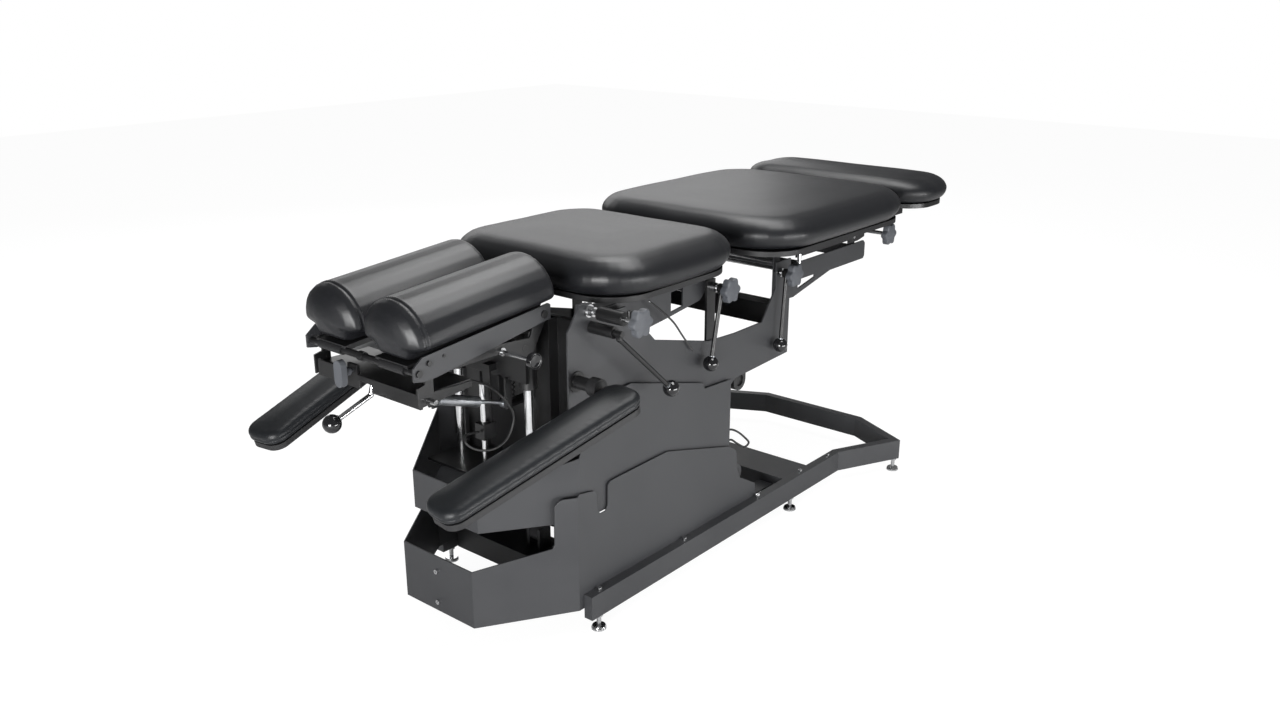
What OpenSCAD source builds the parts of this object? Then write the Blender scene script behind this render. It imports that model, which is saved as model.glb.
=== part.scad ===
// Stationary chiropractic table: lifting frame with four cushioned sections, drop pieces and armrests.
// Lengths are in millimetres. +X runs from the head end to the foot end, -Y is the side with the levers.

/* [Base frame] */
// Length of each straight side rail
rail_len = 968; // [940:1:990]
// Width of a rail
rail_w = 22; // [20:1:26]
// Height of a rail
rail_h = 54; // [50:1:60]
// Wall of the rails and the rear loop
rail_wall = 3; // [2:0.5:4]
// Height of the underside of the rails
rail_z = 35; // [32:1:36]
// Half width of the rear loop at its widest
loop_half = 330; // [310:1:345]
// Length of the rear loop behind the rails
loop_len = 287; // [270:1:300]

/* [Feet and screws] */
// Diameter of a levelling foot
foot_d = 32; // [28:1:40]
// Diameter of the threaded studs
stud_d = 10; // [8:1:12]
// Diameter of a cap screw's head
screw_d = 10; // [8:1:12]

/* [Skirts] */
// Thickness of both skirts' sheet
skirt_t = 2.5; // [2:0.5:3]
// Height of the base skirt's front panel
skirt_front_h = 126; // [110:1:140]
// Height of the base skirt's sides
skirt_side_h = 262; // [255:1:275]
// Height of the upper skirt's front panel
upper_front_h = 83; // [70:1:95]

/* [Lift] */
// Length of a scissor arm between its end pivots
arm_len = 500; // [497:1:503]
// Height between the lower and upper pivots, at rest
scissor_rise = 240; // [236:1:244]
// Width of a scissor arm
scissor_w = 34; // [30:1:36]
// Thickness of a scissor arm
scissor_t = 6; // [5:0.5:7]
// Diameter of the cross tubes
cross_d = 28; // [24:1:30]
// Diameter of a roller
roller_d = 30; // [26:1:32]
// Diameter of a guide rod
guide_d = 20; // [16:1:22]
// Outer diameter of a guide sleeve
sleeve_d = 36; // [32:1:38]

/* [Cushions] */
// Height of the top of the chest cushion
table_h = 780; // [775:1:790]
// Thickness of the chest cushion and its board
chest_t = 92; // [88:1:96]
// Length of the chest cushion
chest_len = 472; // [465:1:478]
// Half width of the chest cushion
chest_half = 270; // [262:1:276]
// Length of the pelvic cushion
pelvic_len = 676; // [670:1:680]
// Half width of the pelvic cushion
pelvic_half = 312; // [304:1:320]
// Length of the leg cushion
leg_len = 240; // [230:1:250]
// Half width of the leg cushion
leg_half = 300; // [285:1:310]
// Thickness of the boards under the cushions
board_t = 12; // [10:1:14]

/* [Head section] */
// Length of a head cushion
head_len = 372; // [360:1:375]
// Half width of a head cushion
head_pad_half = 84; // [80:1:86]
// Height of a head cushion
head_pad_h = 111; // [104:1:115]
// Angle that the head section slopes down to the front
head_slope = 5; // [4:0.5:6]
// Diameter of the crossbar
crossbar_d = 13; // [11:1:14]

/* [Armrests] */
// Length of an armrest
armrest_len = 459; // [440:1:465]
// Width of an armrest
armrest_w = 98; // [90:1:100]
// Thickness of an armrest's padding
armrest_pad_t = 34; // [30:1:38]
// Diameter of an armrest's pivot tube
arm_tube_d = 26; // [22:1:28]

/* [Levers and knobs] */
// Diameter of a lever's ball
ball_d = 35; // [32:1:38]
// Diameter of a lever's rod
rod_d = 10; // [8:1:11]
// Diameter of a star knob
star_d = 58; // [54:1:60]
// Thickness of a star knob
star_t = 22; // [20:1:24]
// Number of lobes on a star knob
star_lobes = 6; // [5:1:8]

/* [Hidden] */

// Overrun of a cut past the face that it leaves
cut = 1;
// Running clearance of a shaft in its bore
fit = 0.06;
// Clearance under a soft piece, and beside a sliding face
soft_gap = 0.3;
// Facets round a full circle
round_fn = 48;

// Colours, as photographed
black_paint = [0.13, 0.13, 0.14];
dark_paint = [0.09, 0.09, 0.1];
vinyl = [0.06, 0.06, 0.07];
bright = [0.8, 0.8, 0.82];
grey_plastic = [0.3, 0.3, 0.32];
black_gloss = [0.03, 0.03, 0.03];

// Heights of the upper frame are measured down from the underside of the chest section
deck = table_h - chest_t;
// The pelvic and leg cushions sit a little higher than the chest cushion
pelvic_step = 5;
leg_step = 7;
pelvic_deck = deck + 7;
leg_deck = deck + 19;

// Distances along X of the cushions, from the front of the rails
chest_x = 52;
waist_gap = 36;
leg_gap = 6;
pelvic_x = chest_x + chest_len + waist_gap;
leg_x = pelvic_x + pelvic_len + leg_gap;
table_rear = leg_x + leg_len;
head_ball_at = [-410, 8, deck - 153];
table_front = head_ball_at[0] - ball_d / 2;
frame_x = -(table_front + table_rear) / 2;

module placed() translate([frame_x, 0, 0]) children();

// A box between two corners
module block(a, b) translate(a) cube([for (i = [0 : 2]) b[i] - a[i]]);

// A cylinder along Y between two distances, round the point x, z
module y_rod(at, d, y0, y1) translate([at[0], y1, at[1]]) rotate([90, 0, 0])
    cylinder(d = d, h = y1 - y0, $fn = round_fn);

// A cylinder along Z between two heights, round the point x, y
module z_rod(at, d, z0, z1) translate([at[0], at[1], z0]) cylinder(d = d, h = z1 - z0, $fn = round_fn);

// Necks are thinner than the eyes that they leave, and a bend's ball is a little wider than its rod
neck_share = 0.8;
elbow_share = 1.08;

// A cylinder between any two points
module rod_between(a, b, d) {
    v = b - a;
    l = norm(v);
    translate(a) rotate([0, acos(v[2] / l), atan2(v[1], v[0])]) cylinder(d = d, h = l, $fn = round_fn);
}

// The same piece on both sides of the table
module both_sides() for (s = [0, 1]) mirror([0, s, 0]) children();

// The piece on the near side only
module near_side() mirror([0, 1, 0]) children();

// A sheet standing in the XZ plane between y and y + t
module sheet_xz(points, y, t) translate([0, y + t, 0]) rotate([90, 0, 0]) linear_extrude(t) polygon(points);

// Outline points given down from the deck
function below_deck(points) = [for (p = points) [p[0], deck + p[1]]];

// Outline points given as shares of a length and a height from a corner
function shared(shares, x, z, l, h) = [for (s = shares) [x + s[0] * l, z + s[1] * h]];

// Outlines that lie a distance inside a path, for folded channels
function unit(a, b) = (b - a) / norm(b - a);
function left_of(u) = [-u[1], u[0]];
function inset_corner(a, b, c, d) = let (n = left_of(unit(a, b)) + left_of(unit(b, c))) b + n * d * 2 / (n * n);
function inset(path, d) = let (n = len(path) - 1)
    [for (i = [0 : n]) i == 0 ? path[0] + left_of(unit(path[0], path[1])) * d
        : i == n ? path[n] + left_of(unit(path[n - 1], path[n])) * d
        : inset_corner(path[i - 1], path[i], path[i + 1], d)];
function reversed(v) = [for (i = [len(v) - 1 : -1 : 0]) v[i]];
module band(path, d0, d1) polygon(concat(inset(path, d0), reversed(inset(path, d1))));

// Base rails and rear loop
rail_out = 243;
rail_top = rail_z + rail_h;
loop_stub = 20;
loop_wide_share = 0.7;
loop_end_half = 160;
loop_path = [[rail_len, -rail_out], [rail_len + loop_stub, -rail_out],
    [rail_len + loop_len * loop_wide_share, -loop_half], [rail_len + loop_len, -loop_end_half],
    [rail_len + loop_len, loop_end_half], [rail_len + loop_len * loop_wide_share, loop_half],
    [rail_len + loop_stub, rail_out], [rail_len, rail_out]];
rail_mid = rail_out - rail_w / 2;
loop_mid = inset(loop_path, rail_w / 2);
foot_at = [[32, rail_mid], [768, rail_mid], loop_mid[5]];
boss_w = 26;
boss_h = 14;

module boss_bore(p) translate([p[0], p[1], rail_z - cut])
    cylinder(d = stud_d + 2 * fit, h = boss_h + 2 * cut, $fn = round_fn);

module side_rails() color(black_paint) placed() both_sides() difference() {
    union() {
        difference() {
            block([0, rail_out - rail_w, rail_z], [rail_len, rail_out, rail_top]);
            block([rail_wall, rail_out - rail_w + rail_wall, rail_z - cut],
                [rail_len + cut, rail_out - rail_wall, rail_top - rail_wall]);
        }
        for (i = [0, 1]) block([foot_at[i][0] - boss_w / 2, rail_out - rail_w + rail_wall, rail_z],
            [foot_at[i][0] + boss_w / 2, rail_out - rail_wall, rail_z + boss_h]);
    }
    for (i = [0, 1]) boss_bore(foot_at[i]);
}

module rear_loop() color(black_paint) placed() difference() {
    union() {
        translate([0, 0, rail_top - rail_wall]) linear_extrude(rail_wall) band(loop_path, 0, rail_w);
        translate([0, 0, rail_z]) linear_extrude(rail_h) band(loop_path, 0, rail_wall);
        translate([0, 0, rail_z]) linear_extrude(rail_h) band(loop_path, rail_w - rail_wall, rail_w);
        both_sides() translate([0, 0, rail_z]) linear_extrude(boss_h) intersection() {
            band(loop_path, 0, rail_w);
            translate(foot_at[2]) circle(d = boss_w, $fn = round_fn);
        }
    }
    both_sides() boss_bore(foot_at[2]);
}

// Levelling feet: a chrome disc, a stud into the boss and a lock nut
foot_t = 8;
nut_h = 6;
nut_d = 18;
foot_taper = 4;
module levelling_feet() color(bright) placed() both_sides() for (p = foot_at) translate([p[0], p[1], 0]) {
    cylinder(d = foot_d, h = foot_t / 2, $fn = round_fn);
    translate([0, 0, foot_t / 2]) cylinder(d1 = foot_d, d2 = foot_d - foot_taper, h = foot_t / 2, $fn = round_fn);
    cylinder(d = stud_d, h = rail_z + boss_h, $fn = round_fn);
    translate([0, 0, rail_z - nut_h]) cylinder(d = nut_d, h = nut_h, $fn = 6);
}

// Cap screws along the rails and on the front panel
screw_h = 6;
rail_screw_xs = [36, 325, 618, 812, 948];
front_screw_zs = [80, 150];
module cap_screw() difference() {
    cylinder(d = screw_d, h = screw_h, $fn = round_fn);
    translate([0, 0, screw_h / 2]) cylinder(d = screw_d / 2, h = screw_h, $fn = 6);
}
module frame_screws() color(bright) placed() {
    both_sides() for (x = rail_screw_xs) translate([x, rail_mid, rail_top]) cap_screw();
    for (z = front_screw_zs) translate([-skirt_front, 0, z]) rotate([0, -90, 0]) cap_screw();
}

// Base skirt: front panel, two flared panels and two sides of one folded sheet
skirt_out = 220.7;
skirt_front = 199;
skirt_front_half = 104;
skirt_fold = 14;
skirt_z = 57;
skirt_side_len = 640;
skirt_side_shares = [[0, 0], [0, 0.978], [0.01, 1], [0.075, 0.97], [0.089, 0.94], [0.091, 0.80], [0.105, 0.75],
    [0.13, 0.75], [0.142, 0.79], [0.144, 0.96], [0.155, 0.985], [0.19, 0.99], [0.45, 1], [0.81, 0.76],
    [0.853, 0.70], [0.862, 0.66], [0.872, 0.48], [0.89, 0.39], [0.94, 0.32], [0.99, 0.25], [1, 0.13], [1, 0]];
skirt_fold_share = skirt_side_shares[1][1];
flare_shares = [[0, 0], [0, skirt_front_h / (skirt_side_h * skirt_fold_share)], [0.76, 0.59], [0.78, 0.62],
    [0.785, 0.95], [0.83, 0.99], [0.86, 1]];
// A skirt of one sheet, folded in plan and cut to a side profile. The flare's shares rise to the fold's share.
module skirt(front, half, fold, out, rear, z, h, flare, fold_share, side) intersection() {
    translate([0, 0, z]) linear_extrude(h) band([[rear, out], [fold, out], [front, half], [front, -half],
        [fold, -out], [rear, -out]], 0, skirt_t);
    sheet_xz(concat(shared(flare, front, z, fold - front, h * fold_share), shared([for (i = [1 : len(side) - 1]) side[i]],
        fold, z, rear - fold, h)), -out - cut, 2 * out + 2 * cut);
}
module base_skirt() color(black_paint) placed()
    skirt(-skirt_front, skirt_front_half, -skirt_fold, skirt_out, skirt_side_len - skirt_fold, skirt_z, skirt_side_h,
        flare_shares, skirt_fold_share, skirt_side_shares);

// Scissor lift: fixed pivots at the rear, rollers in tracks at the front
pivot_x = 566;
pivot_z = 160;
roller_x = pivot_x - sqrt(pow(arm_len, 2) - pow(scissor_rise, 2));
upper_pivot_z = pivot_z + scissor_rise;
scissor_mid = [(pivot_x + roller_x) / 2, (pivot_z + upper_pivot_z) / 2];
track_x0 = pivot_x - arm_len - 16;
track_len = 140;
track_in = 168;
track_out = 190;
track_wall = 4;
track_h = roller_d + 6;
lug_w = 48;
lug_t = 8;
hub_t = 10;

module track(z) difference() {
    block([track_x0, track_in, z - track_h / 2 - track_wall],
        [track_x0 + track_len, track_out, z + track_h / 2 + track_wall]);
    block([track_x0 - cut, track_in - cut, z - track_h / 2],
        [track_x0 + track_len + cut, track_out - track_wall, z + track_h / 2]);
}

// Cross beams between the rails, with the sills, lower tracks and pivot lugs of the scissor
front_beam = [42, 142];
rear_beam = [746, 858];
sill_in = 150;
sill_z = rail_top - 26;
sill_t = 4;
module beam(x, half) difference() {
    block([x[0], -half, rail_z], [x[1], half, rail_top]);
    block([x[0] + rail_wall, -half - cut, rail_z - cut], [x[1] - rail_wall, half + cut, rail_top - rail_wall]);
}
module cross_beams() color(dark_paint) placed() {
    beam(front_beam, skirt_out - skirt_t);
    beam(rear_beam, rail_out - rail_w);
    both_sides() difference() {
        union() {
            block([front_beam[0], sill_in, sill_z], [rear_beam[0] + rail_wall, track_out, sill_z + sill_t]);
            track(pivot_z);
            block([track_x0, track_out - track_wall, sill_z], [track_x0 + track_len, track_out, pivot_z]);
            block([pivot_x - lug_w / 2, track_out - lug_t, sill_z], [pivot_x + lug_w / 2, track_out, pivot_z]);
            y_rod([pivot_x, pivot_z], lug_w, track_out - lug_t, track_out + hub_t);
        }
        y_rod([pivot_x, pivot_z], cross_d + 2 * fit, track_in, rail_out);
    }
    ram_fork();
}

// Upper tracks and pivot lugs, held by the side plates
plate_out = 208;
plate_t = 4;
plate_in = plate_out - plate_t;
strap_t = 8;
module lift_tracks() color(dark_paint) placed() both_sides() difference() {
    union() {
        track(upper_pivot_z);
        block([track_x0, track_out, upper_pivot_z], [track_x0 + track_len, plate_in, upper_pivot_z + strap_t]);
        y_rod([pivot_x, upper_pivot_z], lug_w, track_out - lug_t, plate_in);
        block([pivot_x - lug_w / 2, plate_in - strap_t, upper_pivot_z], [pivot_x + lug_w / 2, plate_in,
            upper_pivot_z + lug_w]);
    }
    y_rod([pivot_x, upper_pivot_z], cross_d + 2 * fit, track_in, rail_out);
}

// Scissor arms. Each pair turns on its cross tube and carries a shaft with two rollers at the free end.
arm_gap = 4;
outer_arm_y = track_in - scissor_t - arm_gap;
inner_arm_y = outer_arm_y - scissor_t - arm_gap;
roller_t = 14;
shaft_d = 16;
mid_pin_play = 3;
function arm_outline(a, b) = let (u = unit(a, b), n = left_of(u) * scissor_w / 2, e = u * scissor_w / 2)
    [a - n - e, b - n + e, b + n + e, a + n - e];
module scissor_pair(a, b, y) {
    y_rod(a, cross_d, -track_out - hub_t, track_out + hub_t);
    both_sides() {
        sheet_xz(arm_outline(a, b), y, scissor_t);
        y_rod(b, shaft_d, y, track_in + roller_t);
        y_rod(b, roller_d, track_in + cut, track_in + roller_t);
    }
}
module scissor_outer() color(dark_paint) placed() difference() {
    scissor_pair([pivot_x, pivot_z], [roller_x, upper_pivot_z], outer_arm_y);
    both_sides() y_rod(scissor_mid, shaft_d + 2 * mid_pin_play, inner_arm_y + scissor_t, track_in);
}
module scissor_inner() color(dark_paint) placed() {
    scissor_pair([pivot_x, upper_pivot_z], [roller_x, pivot_z], inner_arm_y);
    both_sides() y_rod(scissor_mid, shaft_d, inner_arm_y, outer_arm_y + scissor_t + cut);
    y_rod(ram_end, shaft_d, -inner_arm_y - cut, inner_arm_y + cut);
}

// Electric actuator between a fork on the front beam and a cross shaft of the inner arms
ram_at = [front_beam[0] + 50, rail_top + 34];
ram_share = 0.58;
ram_end = [pivot_x + (roller_x - pivot_x) * ram_share, upper_pivot_z - scissor_rise * ram_share];
ram_dir = unit(ram_at, ram_end);
ram_reach = norm(ram_end - ram_at);
ram_d = 44;
ram_rod_d = 24;
ram_pin_d = 14;
ram_eye_d = 34;
ram_eye_t = 24;
ram_len = 165;
ram_hidden = 60;
ram_play = 7;
ram_floor = 8;
fork_t = 8;
fork_gap = 0.5;
gear_d = 40;
motor_y = 46;
motor_l = 90;
function ram_point(l, y = 0) = [ram_at[0] + ram_dir[0] * l, y, ram_at[1] + ram_dir[1] * l];
module ram_fork() difference() {
    both_sides() block([ram_at[0] - ram_eye_d / 2, ram_eye_t / 2 + fork_gap, rail_top - rail_wall],
        [ram_at[0] + ram_eye_d / 2, ram_eye_t / 2 + fork_gap + fork_t, ram_at[1] + ram_eye_d / 2]);
    y_rod(ram_at, ram_pin_d + 2 * fit, -ram_d, ram_d);
}
module actuator_body() color(grey_plastic) placed() difference() {
    union() {
        y_rod(ram_at, ram_pin_d, -ram_eye_t / 2 - fork_gap - fork_t, ram_eye_t / 2 + fork_gap + fork_t);
        y_rod(ram_at, ram_eye_d, -ram_eye_t / 2, ram_eye_t / 2);
        rod_between(ram_point(0), ram_point(ram_eye_d + ram_floor), ram_eye_t * neck_share);
        rod_between(ram_point(ram_eye_d), ram_point(ram_len), ram_d);
        rod_between(ram_point(ram_eye_d + gear_d / 2), ram_point(ram_eye_d + gear_d / 2, motor_y), gear_d);
        rod_between(ram_point(ram_eye_d, motor_y), ram_point(ram_eye_d + motor_l, motor_y), ram_d);
    }
    rod_between(ram_point(ram_eye_d + ram_floor), ram_point(ram_len + cut), ram_rod_d + 2 * fit);
}
module actuator_rod() color(bright) placed() difference() {
    union() {
        rod_between(ram_point(ram_len - ram_hidden), ram_point(ram_reach), ram_rod_d);
        y_rod(ram_end, shaft_d + 4 * ram_play, -ram_eye_t, ram_eye_t);
    }
    y_rod(ram_end, shaft_d + 2 * ram_play, -ram_d, ram_d);
}

// Upper skirt, which slides down inside the base skirt
upper_out = 215;
upper_z = 254;
upper_front = 170;
upper_front_half = 96;
upper_len = 515;
upper_side_h = 258;
upper_fold_share = 0.535;
upper_side_shares = [[0, 0], [0, upper_fold_share], [0.08, 0.95], [0.31, 0.98], [0.795, 0.717], [0.803, 0.66],
    [1, 0.64], [1, 0]];
standoff_xs = [130, 390, 480];
standoff_z = upper_z + 158;
standoff_d = 14;
module upper_skirt() color(black_paint) placed() {
    skirt(-upper_front, upper_front_half, 0, upper_out, upper_len, upper_z, upper_side_h,
        [[0, 0], [0, upper_front_h / (upper_side_h * upper_fold_share)]], upper_fold_share, upper_side_shares);
    both_sides() for (x = standoff_xs) y_rod([x, standoff_z], standoff_d, plate_out, upper_out - skirt_t);
}

// Pins of the chest hinge, the levers and the knobs
chest_axis = [40, deck - 1];
chest_lever_axis = [48, deck - 36];
lumbar_axis = [446, deck - 36];
pelvic_axis = [712, deck - 54];
pin_d = 12;
lever_pin_d = 10;

// Side plates: high at the front, low in the middle, with a post for the pelvic arms at the rear
plate_outline = concat([[-20, upper_z + 146]], below_deck([[-20, -33], [-12, -24], [14, 14], [50, 14], [54, -17],
    [150, -17], [245, -110], [437, -159], [537, -164], [647, -163], [700, -91], [700, -29], [762, -29],
    [762, -266], [542, -275]]), [[522, upper_z + 146]]);
module side_plates() color(black_paint) placed() both_sides() difference() {
    sheet_xz(plate_outline, plate_in, plate_t);
    y_rod(chest_axis, pin_d + 2 * fit, plate_in - cut, plate_out + cut);
    y_rod(pelvic_axis, lever_pin_d + 2 * fit, plate_in - cut, plate_out + cut);
}

// Mast: platform, back panel and two columns, with the seat of the balance spring
guide_at = [-26, 104];
platform_z = upper_z + 76;
platform_half = 136;
platform_ahead = 84;
mast_x = 40;
mast_t = 5;
mast_top = deck - 30;
column_w = 26;
column_y = [84, 124];
lock_rod_at = [-82, -30];
lock_rod_d = 12;
spring_at = [-9, -30];
spring_seat_z = 472;
seat_half = 14;
seat_t = 7;
module mast_frame() color(dark_paint) placed() difference() {
    union() {
        block([-platform_ahead - lock_rod_d, -platform_half, platform_z - mast_t],
            [mast_x + mast_t, platform_half, platform_z]);
        block([mast_x, -plate_in, platform_z - mast_t], [mast_x + mast_t, plate_in, mast_top]);
        both_sides() difference() {
            block([mast_x - column_w, column_y[0], platform_z - mast_t], [mast_x + mast_t, column_y[1], mast_top]);
            block([mast_x - column_w + mast_t, column_y[0] + mast_t, platform_z],
                [mast_x, column_y[1] - mast_t, mast_top + cut]);
        }
        block([spring_at[0] - seat_half, spring_at[1] - seat_half, spring_seat_z - seat_t],
            [mast_x + mast_t, spring_at[1] + seat_half, spring_seat_z]);
    }
    both_sides() z_rod([guide_at[0], guide_at[1]], guide_d + 2 * fit, platform_z - mast_t - cut, platform_z + cut);
    z_rod(lock_rod_at, lock_rod_d + 2 * fit, platform_z - mast_t - cut, platform_z + cut);
}

// Guide rods, and the rod that the height clamp grips
guide_top = deck - 55;
lock_rod_top = deck - 158;
module guide_rods() color(bright) placed() {
    both_sides() z_rod(guide_at, guide_d, platform_z - mast_t, guide_top);
    z_rod(lock_rod_at, lock_rod_d, platform_z - mast_t, lock_rod_top);
}

// Painted cross parts of the lift frame: rear box tube, lumbar posts, armrest tubes and lever housings
rear_tube = [[712, 498], [758, 550]];
post_x = [431, 461];
post_t = 6;
post_top = deck - 20;
post_foot = 444;
post_tie_h = 30;
arm_tube_at = [2, deck - 136];
arm_tube_end = 272;
arm_flange_t = 3;
chest_tube_d = 28;
chest_tube_y = [238, 300];
lever_tube_d = 24;
lever_tube_end = 268;
lever_shaft_in = 30;
arm_flange_share = 1.6;
module cross_tubes() color(dark_paint) placed() {
    block([rear_tube[0][0], -plate_in, rear_tube[0][1]], [rear_tube[1][0], plate_in, rear_tube[1][1]]);
    block([post_x[0], -plate_in, post_foot], [post_x[1], plate_in, post_foot + post_tie_h]);
    difference() {
        both_sides() block([post_x[0], plate_in - post_t, post_foot], [post_x[1], plate_in, post_top]);
        y_rod(lumbar_axis, lever_pin_d + 2 * fit, -plate_out, plate_out);
    }
    both_sides() {
        y_rod(arm_tube_at, arm_tube_d, plate_out, arm_tube_end);
        y_rod(arm_tube_at, arm_tube_d * arm_flange_share, plate_out, plate_out + arm_flange_t);
    }
    near_side() difference() {
        y_rod(chest_axis, chest_tube_d, chest_tube_y[0], chest_tube_y[1]);
        y_rod(chest_axis, pin_d + 2 * fit, chest_tube_y[0] - cut, chest_tube_y[1] + cut);
    }
    near_side() difference() {
        y_rod(chest_lever_axis, lever_tube_d, plate_out, lever_tube_end);
        y_rod(chest_lever_axis, pin_d + 2 * fit, lever_tube_end - lever_shaft_in, lever_tube_end + cut);
    }
}

// Bright pins: chest hinge with its washers, lever pins, and the rods of the pelvic drop
washer_d = 26;
washer_t = 4;
chest_knob_y = 326;
lumbar_knob_y = 242;
pelvic_knob_y = 238;
drop_rod_d = 10;
pelvic_rods = [[727, pelvic_deck - 41], [727, pelvic_deck - 57]];
hinge_nut_share = 0.75;
collar_share = 0.8;
module hinge_pins() color(bright) placed() {
    near_side() {
        y_rod(chest_axis, pin_d, sheet_in, chest_knob_y + star_t / 2 - cut);
        y_rod(chest_axis, washer_d, plate_out, plate_out + washer_t);
        y_rod(chest_axis, washer_d * hinge_nut_share, plate_out + washer_t, plate_out + 4 * washer_t);
        y_rod(lumbar_axis, lever_pin_d, plate_in - post_t, lumbar_knob_y + star_t / 2 - cut);
        y_rod(pelvic_axis, lever_pin_d, plate_in, pelvic_knob_y + star_t / 2 - cut);
        y_rod(pelvic_axis, washer_d * collar_share, plate_out, plate_out + 2 * washer_t);
        y_rod(lumbar_axis, washer_d * collar_share, plate_in, plate_in + 4 * washer_t);
    }
    y_rod(chest_axis, pin_d, sheet_in, plate_out + washer_t);
    y_rod(chest_axis, washer_d, plate_out, plate_out + washer_t);
    for (p = pelvic_rods) y_rod(p, drop_rod_d, -sheet_in, sheet_in);
}

// Pelvic arms: two plates behind the posts, joined by a front and a rear tie
sheet_in = 186;
sheet_t = 4;
sheet_out = sheet_in + sheet_t;
ear_in = 178;
ear_t = 6;
pelvic_hinge = [1096, pelvic_deck - 43];
arm_outline_pelvic = below_deck([[716, -122], [716, -22], [738, -22], [750, -54], [1148, -54], [1156, -62],
    [1156, -96], [1150, -103], [980, -103], [807, -139], [762, -136]]);
arm_window = below_deck([[828, -99], [826, -122], [905, -106], [905, -99]]);
tie_h = 28;
tie_z = deck - 88;
spacer_x = [716, 758];
spacer_z = [deck - 118, deck - 58];
module pelvic_arms() color(black_paint) placed() {
    both_sides() {
        difference() {
            sheet_xz(arm_outline_pelvic, sheet_in, sheet_t);
            sheet_xz(arm_window, sheet_in - cut, sheet_t + 2 * cut);
        }
        block([spacer_x[0], sheet_out, spacer_z[0]], [spacer_x[1], plate_in, spacer_z[1]]);
        difference() {
            union() {
                block([pelvic_hinge[0] - ear_w / 2, ear_in, tie_z], [pelvic_hinge[0] + ear_w / 2, ear_in + ear_t,
                    pelvic_hinge[1]]);
                y_rod(pelvic_hinge, ear_w, ear_in, ear_in + ear_t);
            }
            y_rod(pelvic_hinge, lever_pin_d + 2 * fit, ear_in - cut, ear_in + ear_t + cut);
        }
    }
    for (x = [tie_x, pelvic_hinge[0] - ear_w / 2]) block([x, -sheet_in, tie_z], [x + ear_w, sheet_in, tie_z + tie_h]);
}
ear_w = 28;
tie_x = 836;

// Cable and its two connectors behind the upper skirt
cable_d = 5;
cable_path = [[509, -209, 290], [530, -209, 288], [562, -209, 270], [600, -209, 238], [603, -209, 228],
    [585, -209, 226], [556, -209, 244], [530, -209, 262], [509, -209, 263]];
connector = [16, 7, 12];
module control_cable() color(vinyl) placed() {
    tube(cable_path, cable_d, 8);
    for (i = [0, len(cable_path) - 1]) translate(cable_path[i] - [connector[0], connector[1] / 2, connector[2] / 2])
        cube(connector);
}

// A tube swept along a path: rings of n points, each square to the path there
function smooth(p, n) = concat([for (i = [0 : len(p) - 2], k = [0 : n - 1]) bend(p, i, k / n)], [p[len(p) - 1]]);
function held(p, i) = p[max(0, min(len(p) - 1, i))];
function bend(p, i, t) = let (a = held(p, i - 1), b = held(p, i), c = held(p, i + 1), d = held(p, i + 2))
    (2 * b + (c - a) * t + (2 * a - 5 * b + 4 * c - d) * t * t + (3 * b - a - 3 * c + d) * t * t * t) / 2;
function along(p, i) = unit(held(p, i - 1), held(p, i + 1));
function square_to(v) = let (r = cross(v, abs(v[2]) > 0.9 ? [0, 1, 0] : [0, 0, 1])) r / norm(r);
function ring_at(c, v, a, d, n) = let (b = cross(v, a)) [for (i = [0 : n - 1]) c + (a * cos(360 * i / n)
    + b * sin(360 * i / n)) * d / 2];
function sides_of(p, i = 0, a = undef) = i == len(p) ? [] : let (v = along(p, i), s = is_undef(a) ? square_to(v)
    : a - v * (a * v), u = s / norm(s)) concat([u], sides_of(p, i + 1, u));
function tube_faces(n, m) = concat(
    [for (j = [0 : m - 2], i = [0 : n - 1]) let (k = (i + 1) % n)
        each [[j * n + i, (j + 1) * n + i, (j + 1) * n + k], [j * n + i, (j + 1) * n + k, j * n + k]]],
    [for (i = [1 : n - 2]) [0, i, i + 1]],
    [for (i = [1 : n - 2]) [(m - 1) * n, (m - 1) * n + i + 1, (m - 1) * n + i]]);
module skin(rings) polyhedron([for (r = rings, p = r) p], tube_faces(len(rings[0]), len(rings)));
module tube(path, d, n, steps = 3) {
    p = smooth(path, steps);
    s = sides_of(p);
    skin([for (i = [0 : len(p) - 1]) ring_at(p[i], along(p, i), s[i], d, n)]);
}

// Head section. The tilt axis carries a level lower frame and a sloping upper frame.
tilt_at = [-78, deck - 60];
tilt_pin_d = 14;
tilt_tube_d = 22;
lower_in = 148;
upper_in = 153;
bar_t = 4;
drop_axis = [-30, deck - 2];
module sloped() translate([tilt_at[0], 0, tilt_at[1]]) rotate([0, -head_slope, 0]) children();

// Carriage: two sleeves on the guide rods, a joining plate, the tilt tube and the height clamp
sleeve_z = [deck - 165, deck - 45];
join_x = [-50, -42];
join_y = 122;
join_z = [deck - 148, deck - 44];
tilt_ear_y = [58, 64];
spring_top = deck - 73;
tongue_x = [-71, -66];
tongue_half = 10;
clamp_x = [-94, -62];
clamp_z = [deck - 274, deck - 241];
clamp_half = 13;
gas_y = -60;
gas_rear = [-50, deck - 201];
gas_front = [-240, deck - 138];
gas_pin_d = 8;
gas_ear = [7, 12];
module carriage_plate(x, y, z) block([x[0], y[0], z[0]], [x[1], y[1], z[1]]);
gas_ear_share = 1.4;
module gas_ears(at, z_join, half) for (s = [-1, 1]) translate([0, gas_y + s * (gas_ear[0] + gas_ear[1]) / 2, 0])
    block([at[0] - half, -(gas_ear[1] - gas_ear[0]) / 2, min(at[1] - half, z_join)],
        [at[0] + half, (gas_ear[1] - gas_ear[0]) / 2, max(at[1] + half, z_join)]);
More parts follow.
